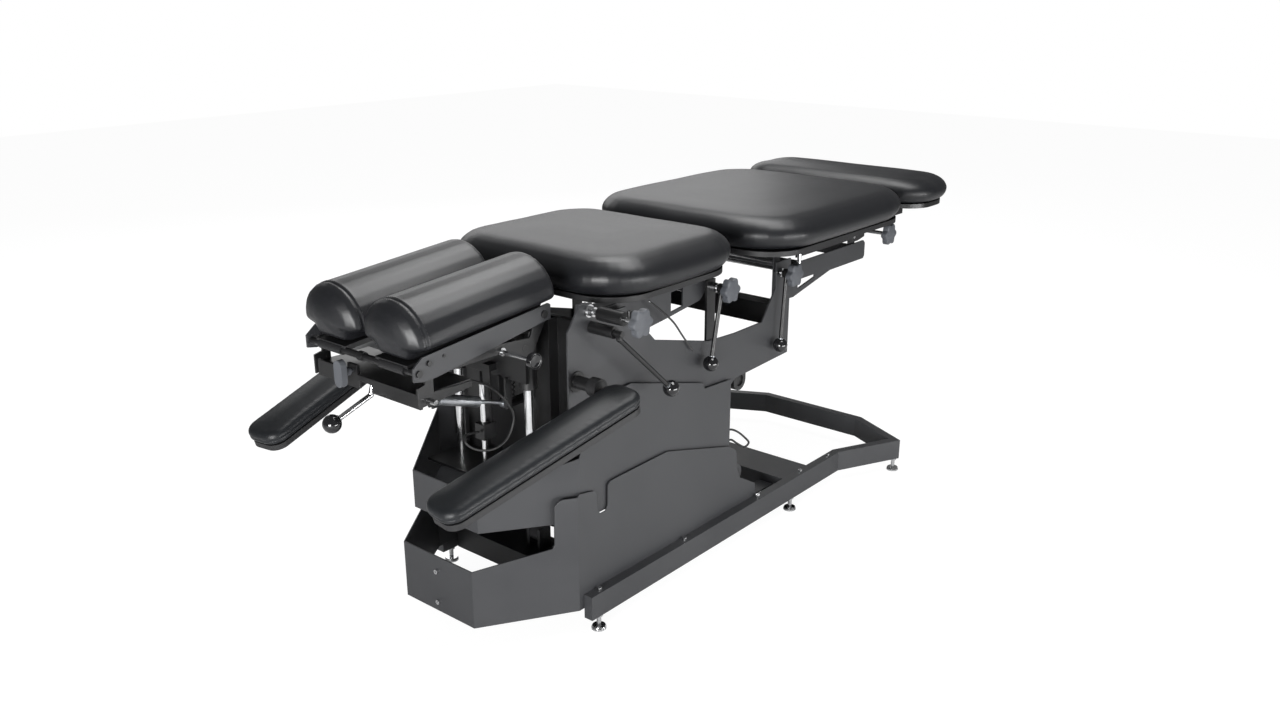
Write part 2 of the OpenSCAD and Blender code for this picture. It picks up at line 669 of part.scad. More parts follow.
module head_carriage() color(dark_paint) placed() {
    difference() {
        union() {
            both_sides() z_rod(guide_at, sleeve_d, sleeve_z[0], sleeve_z[1]);
            carriage_plate(join_x, [-join_y, join_y], join_z);
            both_sides() {
                block([tilt_at[0], tilt_ear_y[0], tilt_at[1] - tilt_tube_d / 2 - bar_t], [join_x[1], tilt_ear_y[1],
                    tilt_at[1] + tilt_tube_d / 2 + bar_t]);
                y_rod(tilt_at, tilt_tube_d + 2 * bar_t, tilt_ear_y[0], tilt_ear_y[1]);
            }
            y_rod(tilt_at, tilt_tube_d, -lower_in + soft_gap, lower_in - soft_gap);
            y_rod(tilt_at, tilt_pin_d, -upper_in + soft_gap, upper_in - soft_gap);
            // Upper seat of the balance spring
            block([join_x[0], spring_at[1] - seat_half, spring_top], [spring_at[0] + seat_half,
                spring_at[1] + seat_half, spring_top + seat_t]);
            // Tongue and clamp of the lock rod
            block([tongue_x[0], lock_rod_at[1] - tongue_half, clamp_z[0]], [tongue_x[1],
                lock_rod_at[1] + tongue_half, join_z[0] + tie_h]);
            block([tongue_x[0], lock_rod_at[1] - tongue_half, join_z[0] + tie_h / 2], [join_x[1],
                lock_rod_at[1] + tongue_half, join_z[0] + tie_h]);
            block([clamp_x[0], lock_rod_at[1] - clamp_half, clamp_z[0]], [clamp_x[1], lock_rod_at[1] + clamp_half,
                clamp_z[1]]);
            gas_ears(gas_rear, join_z[0] + bar_t, gas_pin_d);
        }
        both_sides() z_rod(guide_at, guide_d + 2 * fit, sleeve_z[0] - cut, sleeve_z[1] + cut);
        z_rod(lock_rod_at, lock_rod_d + 2 * fit, clamp_z[0] - cut, clamp_z[1] + cut);
    }
    y_rod(gas_rear, gas_pin_d, gas_y - gas_ear[1], gas_y + gas_ear[1]);
}

// Balance spring between the mast's seat and the carriage
spring_d = 22;
spring_wire = 3;
spring_curls = 14;
spring_step = 45;
module balance_spring() color(dark_paint) placed() {
    z0 = spring_seat_z + spring_wire / 2;
    z1 = spring_top - spring_wire / 2;
    turns = spring_curls * 360 / spring_step;
    skin([for (i = [0 : turns]) let (a = i * spring_step, c = [spring_at[0] + spring_d / 2 * cos(a),
        spring_at[1] + spring_d / 2 * sin(a), z0 + (z1 - z0) * i / turns], r = [cos(a), sin(a), 0])
        ring_at(c, [-sin(a), cos(a), 0], r, spring_wire, 6)]);
}

// Release cable from the gas spring round to the height clamp
release_path = [[-206, -92, 588], [-196, -92, 586], [-184, -92, 582], [-130, -92, 556], [-92, -92, 524],
    [-66, -92, 490], [-56, -90, 460], [-72, -86, 424], [-104, -80, 410], [-140, -72, 418], [-158, -62, 434],
    [-148, -48, 444], [-124, -36, 438], [-97, -30, 431]];
module release_cable() color(vinyl) placed() tube(release_path, cable_d, 8, 4);

// Lower frame of the head section: two side plates, a tray and the front bar
lower_outline = below_deck([[-340, -107], [-340, -70], [-322, -66], [-322, -36], [-140, -36], [-64, -42],
    [-46, 2], [-38, 9], [-20, 9], [-14, -4], [-60, -78], [-94, -78], [-145, -55], [-304, -55], [-304, -84],
    [-215, -88], [-215, -98]]);
tray_x = [-328, -215];
tray_z = [deck - 88, deck - 84];
front_bar_x = [-334, -328];
front_bar_z = deck - 111;
head_lever_axis = [-316, deck - 97];
lever_notch = [-14, 24];
lever_notch_top = deck - 95;
handle_at = [41, deck - 78];
handle_ear = [27, 55];
handle_ear_top = deck - 66;
hook_y = [71, 121];
hook_x = [-352, -346];
hook_z = [deck - 97, deck - 69];
lever_ear_x = [-324, -308];
lever_ear_y = [40, 46];
drop_head_t = 3;
drop_head_d = 16;
module head_lower_frame() color(dark_paint) placed() {
    difference() {
        union() {
            both_sides() sheet_xz(lower_outline, lower_in, bar_t);
            block([tray_x[0], -lower_in - cut, tray_z[0]], [tray_x[1], lower_in + cut, tray_z[1]]);
            block([front_bar_x[0], -lower_in - cut, front_bar_z], [front_bar_x[1], lower_in + cut, tray_z[1]]);
            block([front_bar_x[0], handle_ear[0], tray_z[0]], [front_bar_x[1], handle_ear[1], handle_ear_top]);
            block([lever_ear_x[0], lever_ear_y[0], head_lever_axis[1] - rod_d], [lever_ear_x[1], lever_ear_y[1],
                tray_z[1]]);
            block([hook_x[0], hook_y[0], hook_z[0]], [hook_x[1], hook_y[1], hook_z[1]]);
            block([hook_x[0], hook_y[1] - bar_t, hook_z[0]], [front_bar_x[1], hook_y[1], tray_z[1]]);
            gas_ears(gas_front, tray_z[1], gas_pin_d * gas_ear_share);
        }
        block([front_bar_x[0] - cut, lever_notch[0], front_bar_z - cut], [front_bar_x[1] + cut, lever_notch[1],
            lever_notch_top]);
        both_sides() y_rod(tilt_at, tilt_pin_d + 2 * fit, lower_in - cut, lower_in + bar_t + cut);
        y_rod(head_lever_axis, rod_d + 2 * fit, -lower_in - 2 * bar_t, lever_ear_y[1] + cut);
        y_rod([side_knob_at[0], side_knob_at[1]], side_shaft_d + 2 * fit, -lower_in - 2 * bar_t, -lower_in + cut);
        translate([front_bar_x[0] - cut, handle_at[0], handle_at[1]]) rotate([0, 90, 0])
            cylinder(d = handle_shaft_d + 2 * fit, h = front_bar_x[1] - front_bar_x[0] + 2 * cut, $fn = round_fn);
    }
    y_rod(gas_front, gas_pin_d, gas_y - gas_ear[1], gas_y + gas_ear[1]);
    // Pins of the head drop
    both_sides() {
        y_rod(drop_axis, lever_pin_d, lower_in, upper_in + bar_t + cut);
        y_rod(drop_axis, drop_head_d, upper_in + bar_t + soft_gap, upper_in + bar_t + drop_head_t);
    }
}

// Gas spring: cylinder on the head's lower frame, rod to the carriage
gas_dir = unit(gas_front, gas_rear);
gas_len = norm(gas_rear - gas_front);
gas_d = 22;
gas_rod_d = 8;
gas_body_len = 125;
gas_eye_d = 18;
gas_eye_t = 12;
gas_floor = 20;
gas_rod_in = 80;
gas_play = 3;
function gas_point(l) = [gas_front[0] + gas_dir[0] * l, gas_y, gas_front[1] + gas_dir[1] * l];
module gas_spring_body() color(bright) placed() difference() {
    union() {
        y_rod(gas_front, gas_eye_d, gas_y - gas_eye_t / 2, gas_y + gas_eye_t / 2);
        rod_between(gas_point(0), gas_point(gas_floor), gas_eye_t * neck_share);
        rod_between(gas_point(gas_eye_d), gas_point(gas_body_len), gas_d);
    }
    y_rod(gas_front, gas_pin_d + 2 * fit, gas_y - gas_d, gas_y + gas_d);
    rod_between(gas_point(gas_floor), gas_point(gas_body_len + cut), gas_rod_d + 2 * fit);
}
module gas_spring_rod() color(bright) placed() difference() {
    union() {
        rod_between(gas_point(gas_rod_in), gas_point(gas_len - gas_play), gas_rod_d);
        y_rod(gas_rear, gas_pin_d + 4 * gas_play, gas_y - gas_eye_t / 2, gas_y + gas_eye_t / 2);
    }
    y_rod(gas_rear, gas_pin_d + 2 * gas_play, gas_y - gas_d, gas_y + gas_d);
}

// Head lever, with its shaft across the lower frame
head_shaft_y = [-171, 57];
head_lever_elbow = [-323, 6, deck - 122];
head_lever_y = 5;
collar_t = 18;
lever_collar_share = 1.6;
module head_lever_rod() color(bright) placed() {
    y_rod(head_lever_axis, rod_d, head_shaft_y[0], head_shaft_y[1]);
    y_rod(head_lever_axis, rod_d * lever_collar_share, head_lever_y - collar_t / 2, head_lever_y + collar_t / 2);
    rod_between([head_lever_axis[0], head_lever_y, head_lever_axis[1]], head_lever_elbow, rod_d);
    translate(head_lever_elbow) sphere(d = rod_d * elbow_share, $fn = round_fn);
    rod_between(head_lever_elbow, head_ball_at, rod_d);
}
// A ball with a bore for the end of its rod
module ball(at, from) {
    v = from - at;
    translate(at) rotate([0, acos(v[2] / norm(v)), atan2(v[1], v[0])]) difference() {
        sphere(d = ball_d, $fn = round_fn);
        cylinder(d = rod_d + 2 * fit, h = ball_d, $fn = round_fn);
    }
}
module head_lever_ball() color(black_gloss) placed() ball(head_ball_at, head_lever_elbow);

// Tilt handle: an oval grip on a short shaft along X
handle_shaft_d = 8;
handle_x = [-366, -354];
handle_size = [24, 52];
handle_stem_share = 0.7;
module tilt_handle() color(grey_plastic) placed() {
    translate([handle_x[0], handle_at[0], handle_at[1]]) rotate([90, 0, 90]) linear_extrude(handle_x[1] - handle_x[0])
        union() {
            square([handle_size[0], handle_size[1] - handle_size[0]], center = true);
            for (s = [-1, 1]) translate([0, s * (handle_size[1] - handle_size[0]) / 2])
                circle(d = handle_size[0], $fn = round_fn);
        }
    translate([handle_x[1], handle_at[0], handle_at[1]]) rotate([0, 90, 0])
        cylinder(d = handle_size[0] * handle_stem_share, h = handle_size[0] / 2, $fn = round_fn);
    translate([handle_x[1], handle_at[0], handle_at[1]]) rotate([0, 90, 0])
        cylinder(d = handle_shaft_d, h = front_bar_x[1] - handle_x[1], $fn = round_fn);
}

// Side knob on its shaft
side_knob_at = [-139, deck - 51];
side_shaft_d = 8;
side_knob_y = [230, 243];
side_knob_d = 30;
module side_knob_shaft() color(bright) placed() near_side() {
    y_rod(side_knob_at, side_shaft_d, lower_in, side_knob_y[0] + side_shaft_d / 2);
    y_rod(side_knob_at, side_shaft_d * 2, lower_in + bar_t, lower_in + 2 * bar_t);
}
module side_knob() color(black_gloss) placed() near_side() difference() {
    union() {
        y_rod(side_knob_at, side_knob_d, side_knob_y[0] + bar_t, side_knob_y[1]);
        y_rod(side_knob_at, side_knob_d / 2, side_knob_y[0], side_knob_y[0] + bar_t);
    }
    y_rod(side_knob_at, side_shaft_d + 2 * fit, side_knob_y[0] - cut, side_knob_y[0] + side_shaft_d / 2);
}

// Upper frame of the head section: sloping side bars and a rear cross plate, hinged at the rear
upper_outline = below_deck([[-350, -54], [-350, -30], [-328, -13], [-17, 17], [-12, 14], [-12, -14], [-298, -57],
    [-330, -58]]);
cross_u = [-32, -2];
cross_w = [37.5, 42.5];
module head_upper_frame() color(black_paint) placed() {
    both_sides() difference() {
        sheet_xz(upper_outline, upper_in, bar_t);
        y_rod(drop_axis, lever_pin_d + 2 * fit, upper_in - cut, upper_in + bar_t + cut);
    }
    sloped() block([cross_u[0], -upper_in - cut, cross_w[0]], [cross_u[1], upper_in + cut, cross_w[1]]);
}

// Crossbar, its collar, the bolts of the side bars and the far clamp screw
crossbar_at = [-339, deck - 41];
head_bolts = [[-316, deck - 27], [-281, deck - 22]];
bolt_t = 4;
far_knob_at = [-326, deck - 32];
far_knob_d = 22;
crossbar_hub_share = 1.4;
bolt_stem_share = 0.6;
module head_crossbar() color(dark_paint) placed() {
    y_rod(crossbar_at, crossbar_d, -upper_in, upper_in);
    y_rod(crossbar_at, crossbar_d * crossbar_hub_share, -crossbar_d / 2, crossbar_d / 2);
    both_sides() {
        y_rod(crossbar_at, crossbar_d, upper_in + bar_t, upper_in + bar_t + bolt_t);
        y_rod(head_bolts[0], screw_d, upper_in + bar_t, upper_in + bar_t + bolt_t);
        y_rod(head_bolts[1], screw_d * bolt_stem_share, upper_in + bar_t, upper_in + bar_t + bolt_t / 2);
    }
}

// Head cushions: two half-round bolsters with domed ends, each on a board that slides on the crossbar
pad_y = 88;
pad_w = 52.7;
pad_u = -280;
pad_cap = 40;
pad_rear_cap = 18;
pad_mid = 0.5;
pad_arc_n = 12;
cap_steps = [0, 0.4, 0.7, 0.9, 0.99];
// Outline of a bolster: a half ellipse on top, and a belly that is drawn in over the frame, as shares
pad_waist = 0.29;
pad_belly = [[0.9, 0.225], [0.74, 0.195], [0.57, 0.17], [0.54, 0.09], [0.47, 0]];
pad_outline = concat([for (i = [0 : pad_arc_n]) let (a = 180 * i / pad_arc_n)
    [cos(a), pad_waist + (1 - pad_waist) * sin(a)]], [for (p = pad_belly) [-p[0], p[1]]], reversed(pad_belly));
function pad_ring(u, s) = [for (p = pad_outline) [u, pad_y + p[0] * head_pad_half * s,
    pad_w + soft_gap + (pad_mid + (p[1] - pad_mid) * s) * head_pad_h]];
module head_cushion() color(vinyl) placed() sloped() {
    u0 = pad_u + pad_cap;
    u1 = pad_u + head_len - pad_rear_cap;
    skin(concat([for (s = reversed(cap_steps)) pad_ring(u0 - pad_cap * s, sqrt(1 - s * s))],
        [pad_ring(u0 + (u1 - u0) / 2, 1)],
        [for (s = cap_steps) pad_ring(u1 + pad_rear_cap * s, sqrt(1 - s * s))]));
}
board_w = [43, 52.7];
board_u = [-262, 56];
board_y = [44, 132];
sleeve_y = [56, 123];
slide_sleeve_d = 19;
module head_board() color(dark_paint) placed() difference() {
    union() {
        sloped() block([board_u[0], board_y[0], board_w[0]], [board_u[1], board_y[1], board_w[1]]);
        y_rod(crossbar_at, slide_sleeve_d, sleeve_y[0], sleeve_y[1]);
    }
    y_rod(crossbar_at, crossbar_d + 2 * fit, board_y[0] - cut, board_y[1] + cut);
}
module head_cushion_near() near_side() head_cushion();
module head_cushion_far() head_cushion();
module head_board_near() near_side() head_board();
module head_board_far() head_board();

// A cushion: its side is drawn in at the board, swells, and rolls over into a crowned top.
// Each level is a share of the thickness and an inset as a share of the roll.
corner_n = 8;
side_levels = [[0, 0.55], [0.1, 0.3], [0.25, 0.08], [0.42, 0], [0.58, 0.06], [0.73, 0.26], [0.85, 0.58], [0.92, 1]];
crown_levels = [[0.945, 0.3], [0.975, 0.56], [0.993, 0.8]];
function ring(a, b, r, z) = [for (q = [0 : 3], i = [0 : corner_n - 1]) let (t = 90 * (q + i / (corner_n - 1)))
    [(q == 0 || q == 3 ? 1 : -1) * (a - r) + r * cos(t), (q < 2 ? 1 : -1) * (b - r) + r * sin(t), z]];
module cushion(a, b, r, t, roll) skin(concat(
    [for (v = side_levels) ring(a - v[1] * roll, b - v[1] * roll, max(r - v[1] * roll, r / 3), v[0] * t)],
    [for (v = crown_levels) let (d = roll + v[1] * (min(a, b) - roll))
        ring(a - d, b - d, max(r - d, (min(a, b) - d) / 2), v[0] * t)]));

// Flat boards with rounded corners
module board(l, w, r, t) linear_extrude(t) union() {
    square([l - 2 * r, w], center = true);
    square([l, w - 2 * r], center = true);
    for (x = [-1, 1], y = [-1, 1]) translate([x * (l / 2 - r), y * (w / 2 - r)]) circle(r, $fn = round_fn);
}

// Armrests: each lies along its own sloping line, on a board whose hub turns on the pivot tube
armrest_at = [26, 331, deck - 136];
armrest_slope = 15;
armrest_toe = 9;
armrest_round = 34;
armrest_board_t = 12;
armrest_inset = 8;
armrest_mid = (armrest_pad_t + armrest_board_t) / 2;
arm_hub_d = 38;
arm_hub_y = 250;
arm_bracket_x = [-46, -6];
arm_bracket_w = 16;
arm_bracket_h = 20;
module along_armrest() translate(armrest_at) rotate([0, 0, armrest_toe]) rotate([0, -armrest_slope, 0]) children();
module armrest_pad() color(vinyl) placed() along_armrest()
    translate([-armrest_len / 2, 0, armrest_board_t - armrest_mid + soft_gap])
    cushion(armrest_len / 2, armrest_w / 2, armrest_round, armrest_pad_t, armrest_pad_t / 3);
module armrest_board() color(dark_paint) placed() difference() {
    union() {
        along_armrest() {
            translate([-armrest_len / 2, 0, -armrest_mid]) board(armrest_len - 2 * armrest_inset,
                armrest_w - 2 * armrest_inset, armrest_round - armrest_inset, armrest_board_t);
            block([arm_bracket_x[0], -armrest_w / 2 - arm_bracket_w, -armrest_mid], [arm_bracket_x[1],
                -armrest_w / 2 - cut, -armrest_mid + arm_bracket_h]);
            block([arm_bracket_x[0], -armrest_w / 2 - 2 * cut, -armrest_mid], [arm_bracket_x[1],
                -armrest_w / 4, -armrest_mid + armrest_board_t]);
        }
        y_rod(arm_tube_at, arm_hub_d, arm_hub_y, arm_tube_end);
    }
    y_rod(arm_tube_at, arm_tube_d + 2 * fit, plate_out, armrest_at[1]);
}
module armrest_pad_near() near_side() armrest_pad();
module armrest_pad_far() armrest_pad();
module armrest_board_near() near_side() armrest_board();
module armrest_board_far() armrest_board();

// Chest frame: two plates hinged at the front, with a window in each
thoracic_axis = [450, deck - 20];
chest_outline = below_deck([[26, -13], [26, 9], [54, 9], [58, -15], [400, -4], [464, -4], [464, -33], [445, -46],
    [423, -65], [310, -80], [169, -95], [120, -88], [56, -25]]);
chest_window = below_deck([[320, -26], [320, -70], [362, -65], [362, -24]]);
chest_tie_x = [150, 190];
chest_tie_z = [deck - 88, deck - 84];
module chest_frame() color(black_paint) placed() {
    both_sides() difference() {
        sheet_xz(chest_outline, sheet_in, sheet_t);
        sheet_xz(chest_window, sheet_in - cut, sheet_t + 2 * cut);
        y_rod(chest_axis, pin_d + 2 * fit, sheet_in - cut, sheet_out + cut);
        y_rod(thoracic_axis, lever_pin_d + 2 * fit, sheet_in - cut, sheet_out + cut);
    }
    block([chest_tie_x[0], -sheet_in - cut, chest_tie_z[0]], [chest_tie_x[1], sheet_in + cut, chest_tie_z[1]]);
}
// Bright rods of the chest frame and the pins that the chest board turns on
chest_rod_at = [[412, deck - 36], [428, deck - 50]];
module chest_rods() color(bright) placed() {
    for (p = chest_rod_at) y_rod(p, drop_rod_d, -sheet_in, sheet_in);
    both_sides() y_rod(thoracic_axis, lever_pin_d, sheet_in - 2 * cut, chest_ear_y[1] + cut);
}
chest_ear_y = [192, 196];
chest_ear_w = 24;
board_inset = 26;
board_round = 100;
module board_ears(at, y, w, top) both_sides() difference() {
    union() {
        y_rod(at, w, y[0], y[1]);
        block([at[0] - w / 2, y[0], at[1]], [at[0] + w / 2, y[1], top]);
    }
    y_rod(at, lever_pin_d + 2 * fit, y[0] - cut, y[1] + cut);
}
module chest_board() color(dark_paint) placed() {
    translate([chest_x + chest_len / 2, 0, deck]) board(chest_len - 2 * board_inset, 2 * (chest_half - board_inset),
        board_round, board_t);
    board_ears(thoracic_axis, chest_ear_y, chest_ear_w, deck + cut);
}
cushion_roll = 46;
chest_round = 130;
module chest_cushion() color(vinyl) placed() translate([chest_x + chest_len / 2, 0, deck + board_t + soft_gap])
    cushion(chest_len / 2, chest_half, chest_round, chest_t - board_t - soft_gap, cushion_roll);

// Side levers: each hangs from its pin and ends in a ball
lever_y = [276, 232, 228];
eye_d = 22;
eye_t = 12;
chest_lever_elbow = [chest_lever_axis[0] + 4, chest_lever_axis[1] - 12];
chest_ball = [214, deck - 193];
lumbar_ball = [411, deck - 200];
pelvic_ball = [698, deck - 228];
function lever_point(p, y) = [p[0], -y, p[1]];
module chest_lever_rod() color(dark_paint) placed() {
    near_side() y_rod(chest_lever_axis, pin_d + cut, lever_tube_end + cut, lever_y[0] + pin_d);
    near_side() y_rod(chest_lever_axis, pin_d, lever_tube_end - lever_shaft_in + cut, lever_y[0]);
    rod_between(lever_point(chest_lever_axis, lever_y[0]), lever_point(chest_lever_elbow, lever_y[0]), pin_d);
    translate(lever_point(chest_lever_elbow, lever_y[0])) sphere(d = pin_d * elbow_share, $fn = round_fn);
    rod_between(lever_point(chest_lever_elbow, lever_y[0]), lever_point(chest_ball, lever_y[0]), rod_d);
}
module chest_lever_ball() color(black_gloss) placed()
    ball(lever_point(chest_ball, lever_y[0]), lever_point(chest_lever_elbow, lever_y[0]));
module eye_lever(at, end, y) near_side() difference() {
    union() {
        y_rod(at, eye_d, y - eye_t / 2, y + eye_t / 2);
        rod_between([at[0], y, at[1]], [end[0], y, end[1]], rod_d);
    }
    y_rod(at, lever_pin_d + 2 * fit, y - eye_d, y + eye_d);
}
module lumbar_lever_rod() color(dark_paint) placed() eye_lever(lumbar_axis, lumbar_ball, lever_y[1]);
module lumbar_lever_ball() color(black_gloss) placed()
    ball(lever_point(lumbar_ball, lever_y[1]), lever_point(lumbar_axis, lever_y[1]));
module pelvic_lever_rod() color(dark_paint) placed() eye_lever(pelvic_axis, pelvic_ball, lever_y[2]);
module pelvic_lever_ball() color(black_gloss) placed()
    ball(lever_point(pelvic_ball, lever_y[2]), lever_point(pelvic_axis, lever_y[2]));

// Star knobs on the near side
star_neck_d = 24;
star_body_share = 0.74;
star_lobe_at_share = 0.34;
star_lobe_share = 0.32;
star_neck_t = 5;
module star(at, y, bore) near_side() translate([at[0], y + star_t, at[1]]) rotate([90, 0, 0]) difference() {
    union() {
        linear_extrude(star_t - star_neck_t) union() {
            circle(d = star_d * star_body_share, $fn = round_fn);
            for (i = [0 : star_lobes - 1]) rotate(360 * i / star_lobes) translate([star_d * star_lobe_at_share, 0])
                circle(d = star_d * star_lobe_share, $fn = round_fn);
        }
        cylinder(d = star_neck_d, h = star_t, $fn = round_fn);
    }
    translate([0, 0, star_t / 2]) cylinder(d = bore, h = star_t, $fn = round_fn);
}
module chest_knob() color(grey_plastic) placed() star(chest_axis, chest_knob_y, pin_d + 2 * fit);
module lumbar_knob() color(grey_plastic) placed() star(lumbar_axis, lumbar_knob_y, lever_pin_d + 2 * fit);
module pelvic_knob() color(grey_plastic) placed() star(pelvic_axis, pelvic_knob_y, lever_pin_d + 2 * fit);

// Pelvic board: rails hinged at the rear, and guides for the leg slide
rail_outline = [[816, -48], [816, 0], [1150, 0], [1150, -50], [1116, -56], [1080, -56], [1070, -48]];
slide_y = [120, 150];
slide_z = [pelvic_deck - 37, pelvic_deck - 25];
slide_play = 0.1;
guide_w = 10;
guide_xs = [1120, 1184];
guide_len = 30;
guide_floor = 8;
leg_knob_at = [1135, pelvic_deck - 31];
leg_knob_y = 256;
pelvic_round = 150;
module pelvic_board() color(black_paint) placed() difference() {
    union() {
        translate([pelvic_x + pelvic_len / 2, 0, pelvic_deck]) board(pelvic_len - 2 * board_inset,
            2 * (pelvic_half - board_inset), board_round, board_t);
        both_sides() sheet_xz([for (p = rail_outline) [p[0], pelvic_deck + p[1]]], sheet_in, sheet_t);
        both_sides() for (x = guide_xs) block([x, slide_y[0] - guide_w, slide_z[0] - guide_floor],
            [x + guide_len, slide_y[1] + guide_w, pelvic_deck + cut]);
    }
    both_sides() {
        for (x = guide_xs) block([x - cut, slide_y[0] - slide_play, slide_z[0] - slide_play],
            [x + guide_len + cut, slide_y[1] + slide_play, slide_z[1] + slide_play]);
        y_rod(pelvic_hinge, lever_pin_d + 2 * fit, sheet_in - cut, sheet_out + cut);
    }
    near_side() y_rod(leg_knob_at, lever_pin_d + 2 * fit, slide_y[1] - cut, sheet_out + cut);
}
// Hinge pins of the pelvic board and the bright stud on its near rail
stud_at = [820, -195];
stud_z = [pelvic_deck - 61, pelvic_deck - 29];
module pelvic_pins() color(bright) placed() {
    both_sides() y_rod(pelvic_hinge, lever_pin_d, ear_in, sheet_out + cut);
    z_rod(stud_at, lever_pin_d, stud_z[0], stud_z[1]);
}
pelvic_pad_t = table_h + pelvic_step - pelvic_deck - board_t - soft_gap;
module pelvic_cushion() color(vinyl) placed()
    translate([pelvic_x + pelvic_len / 2, 0, pelvic_deck + board_t + soft_gap])
    cushion(pelvic_len / 2, pelvic_half, pelvic_round, pelvic_pad_t, cushion_roll);

// Leg section: two bars that slide in the pelvic board's guides, risers and a board
slide_x = [1010, 1440];
riser_x = 1262;
leg_round = 100;
leg_inset = 20;
module leg_slide() color(dark_paint) placed() {
    both_sides() {
        block([slide_x[0], slide_y[0], slide_z[0]], [slide_x[1], slide_y[1], slide_z[1]]);
        block([riser_x, slide_y[0], slide_z[0]], [slide_x[1], slide_y[1], leg_deck + cut]);
    }
    translate([leg_x + leg_len / 2, 0, leg_deck]) board(leg_len - 2 * leg_inset, 2 * (leg_half - leg_inset),
        leg_round - leg_inset, board_t);
}
leg_pad_t = table_h + leg_step - leg_deck - board_t - soft_gap;
leg_roll_share = 0.8;
module leg_cushion() color(vinyl) placed() translate([leg_x + leg_len / 2, 0, leg_deck + board_t + soft_gap])
    cushion(leg_len / 2, leg_half, leg_round, leg_pad_t, cushion_roll * leg_roll_share);
module leg_knob() color(grey_plastic) placed() {
    star(leg_knob_at, leg_knob_y, 0);
    near_side() y_rod(leg_knob_at, lever_pin_d, slide_y[1] + cut, leg_knob_y + cut);
}

// Power inlet on the rear cross beam
inlet_size = [14, 28, 22];
inlet_z = rail_z + 16;
inlet_wall = 2.5;
pin_size = [8, 2, 4];
module power_inlet() color(dark_paint) placed() {
    difference() {
        block([rear_beam[1], -inlet_size[1] / 2, inlet_z], [rear_beam[1] + inlet_size[0], inlet_size[1] / 2,
            inlet_z + inlet_size[2]]);
        block([rear_beam[1] + inlet_wall, -inlet_size[1] / 2 + inlet_wall, inlet_z + inlet_wall],
            [rear_beam[1] + inlet_size[0] + cut, inlet_size[1] / 2 - inlet_wall, inlet_z + inlet_size[2] - inlet_wall]);
    }
    for (y = [-1, 0, 1]) translate([rear_beam[1], y * inlet_size[1] / 4 - pin_size[1] / 2, inlet_z
        + inlet_size[2] / 2 - (abs(y) - 0.5) * pin_size[2]]) cube(pin_size);
}

base_skirt();
side_rails();
rear_loop();
cross_beams();
levelling_feet();
frame_screws();
power_inlet();
scissor_outer();
scissor_inner();
actuator_body();
actuator_rod();
upper_skirt();
side_plates();
lift_tracks();
mast_frame();
guide_rods();
cross_tubes();
hinge_pins();
control_cable();
pelvic_arms();
head_carriage();
balance_spring();
release_cable();
head_lower_frame();
gas_spring_body();
gas_spring_rod();
head_lever_rod();
head_lever_ball();
tilt_handle();
side_knob_shaft();
side_knob();
head_upper_frame();
head_crossbar();
head_cushion_near();
head_cushion_far();
head_board_near();
head_board_far();
armrest_pad_near();
armrest_pad_far();
armrest_board_near();
armrest_board_far();
chest_frame();
chest_rods();
chest_board();
chest_cushion();
chest_lever_rod();
chest_lever_ball();
lumbar_lever_rod();
lumbar_lever_ball();
pelvic_lever_rod();
pelvic_lever_ball();
pelvic_board();
pelvic_pins();
pelvic_cushion();
leg_slide();
leg_cushion();
chest_knob();
lumbar_knob();
pelvic_knob();
leg_knob();
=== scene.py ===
# %% [markdown]
# # A chiropractic table, dressed for its portrait
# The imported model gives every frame, lever and cushion its size and place. This lesson keeps that frame as
# it is and adds what construction leaves out: upholstery with grain and stitching, moulded knobs, bolts and
# good finishes. The frame is loaded first, because every piece is made around it.

# %% Load the frame
import math
import bpy
import bmesh
from mathutils import Matrix, Vector
from mathutils.bvhtree import BVHTree


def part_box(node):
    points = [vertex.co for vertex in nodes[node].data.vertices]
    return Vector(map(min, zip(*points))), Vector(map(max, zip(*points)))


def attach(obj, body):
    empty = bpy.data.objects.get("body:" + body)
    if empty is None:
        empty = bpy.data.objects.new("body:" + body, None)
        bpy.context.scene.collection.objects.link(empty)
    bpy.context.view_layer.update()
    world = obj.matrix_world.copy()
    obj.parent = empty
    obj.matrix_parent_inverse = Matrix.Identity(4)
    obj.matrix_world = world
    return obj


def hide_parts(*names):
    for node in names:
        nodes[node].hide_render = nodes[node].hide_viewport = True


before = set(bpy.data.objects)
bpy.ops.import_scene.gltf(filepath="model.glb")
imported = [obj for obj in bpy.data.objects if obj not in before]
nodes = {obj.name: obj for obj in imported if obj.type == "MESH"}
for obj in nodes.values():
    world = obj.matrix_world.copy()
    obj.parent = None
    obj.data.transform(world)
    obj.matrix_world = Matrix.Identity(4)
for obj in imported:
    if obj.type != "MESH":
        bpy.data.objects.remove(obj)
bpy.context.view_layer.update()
MM = 0.001

# %% [markdown]
# Sizes on the table are easiest to read from the front end of the side rails, as a workshop would measure
# them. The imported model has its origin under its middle, so one shift along X takes a workshop measure to
# the model.

# %% Workshop measures to model coordinates
RAIL_FRONT = -527.25


def at(x, y, z):
    return Vector(((x + RAIL_FRONT) * MM, y * MM, z * MM))


def select_only(*objects):
    if bpy.context.object and bpy.context.object.mode != "OBJECT":
        bpy.ops.object.mode_set(mode="OBJECT")
    bpy.ops.object.select_all(action="DESELECT")
    for o in objects:
        o.select_set(True)
    bpy.context.view_layer.objects.active = objects[0] if objects else None


select_only()
print("rail front at x =", at(0, 0, 0).x)

# %% [markdown]
# ## Camera
# The photograph looks down on the head end from the lever side. Its two parallel rails and the level
# cushion tops fix the lens, the height and the distance, so the camera is set from those numbers and not by
# eye.

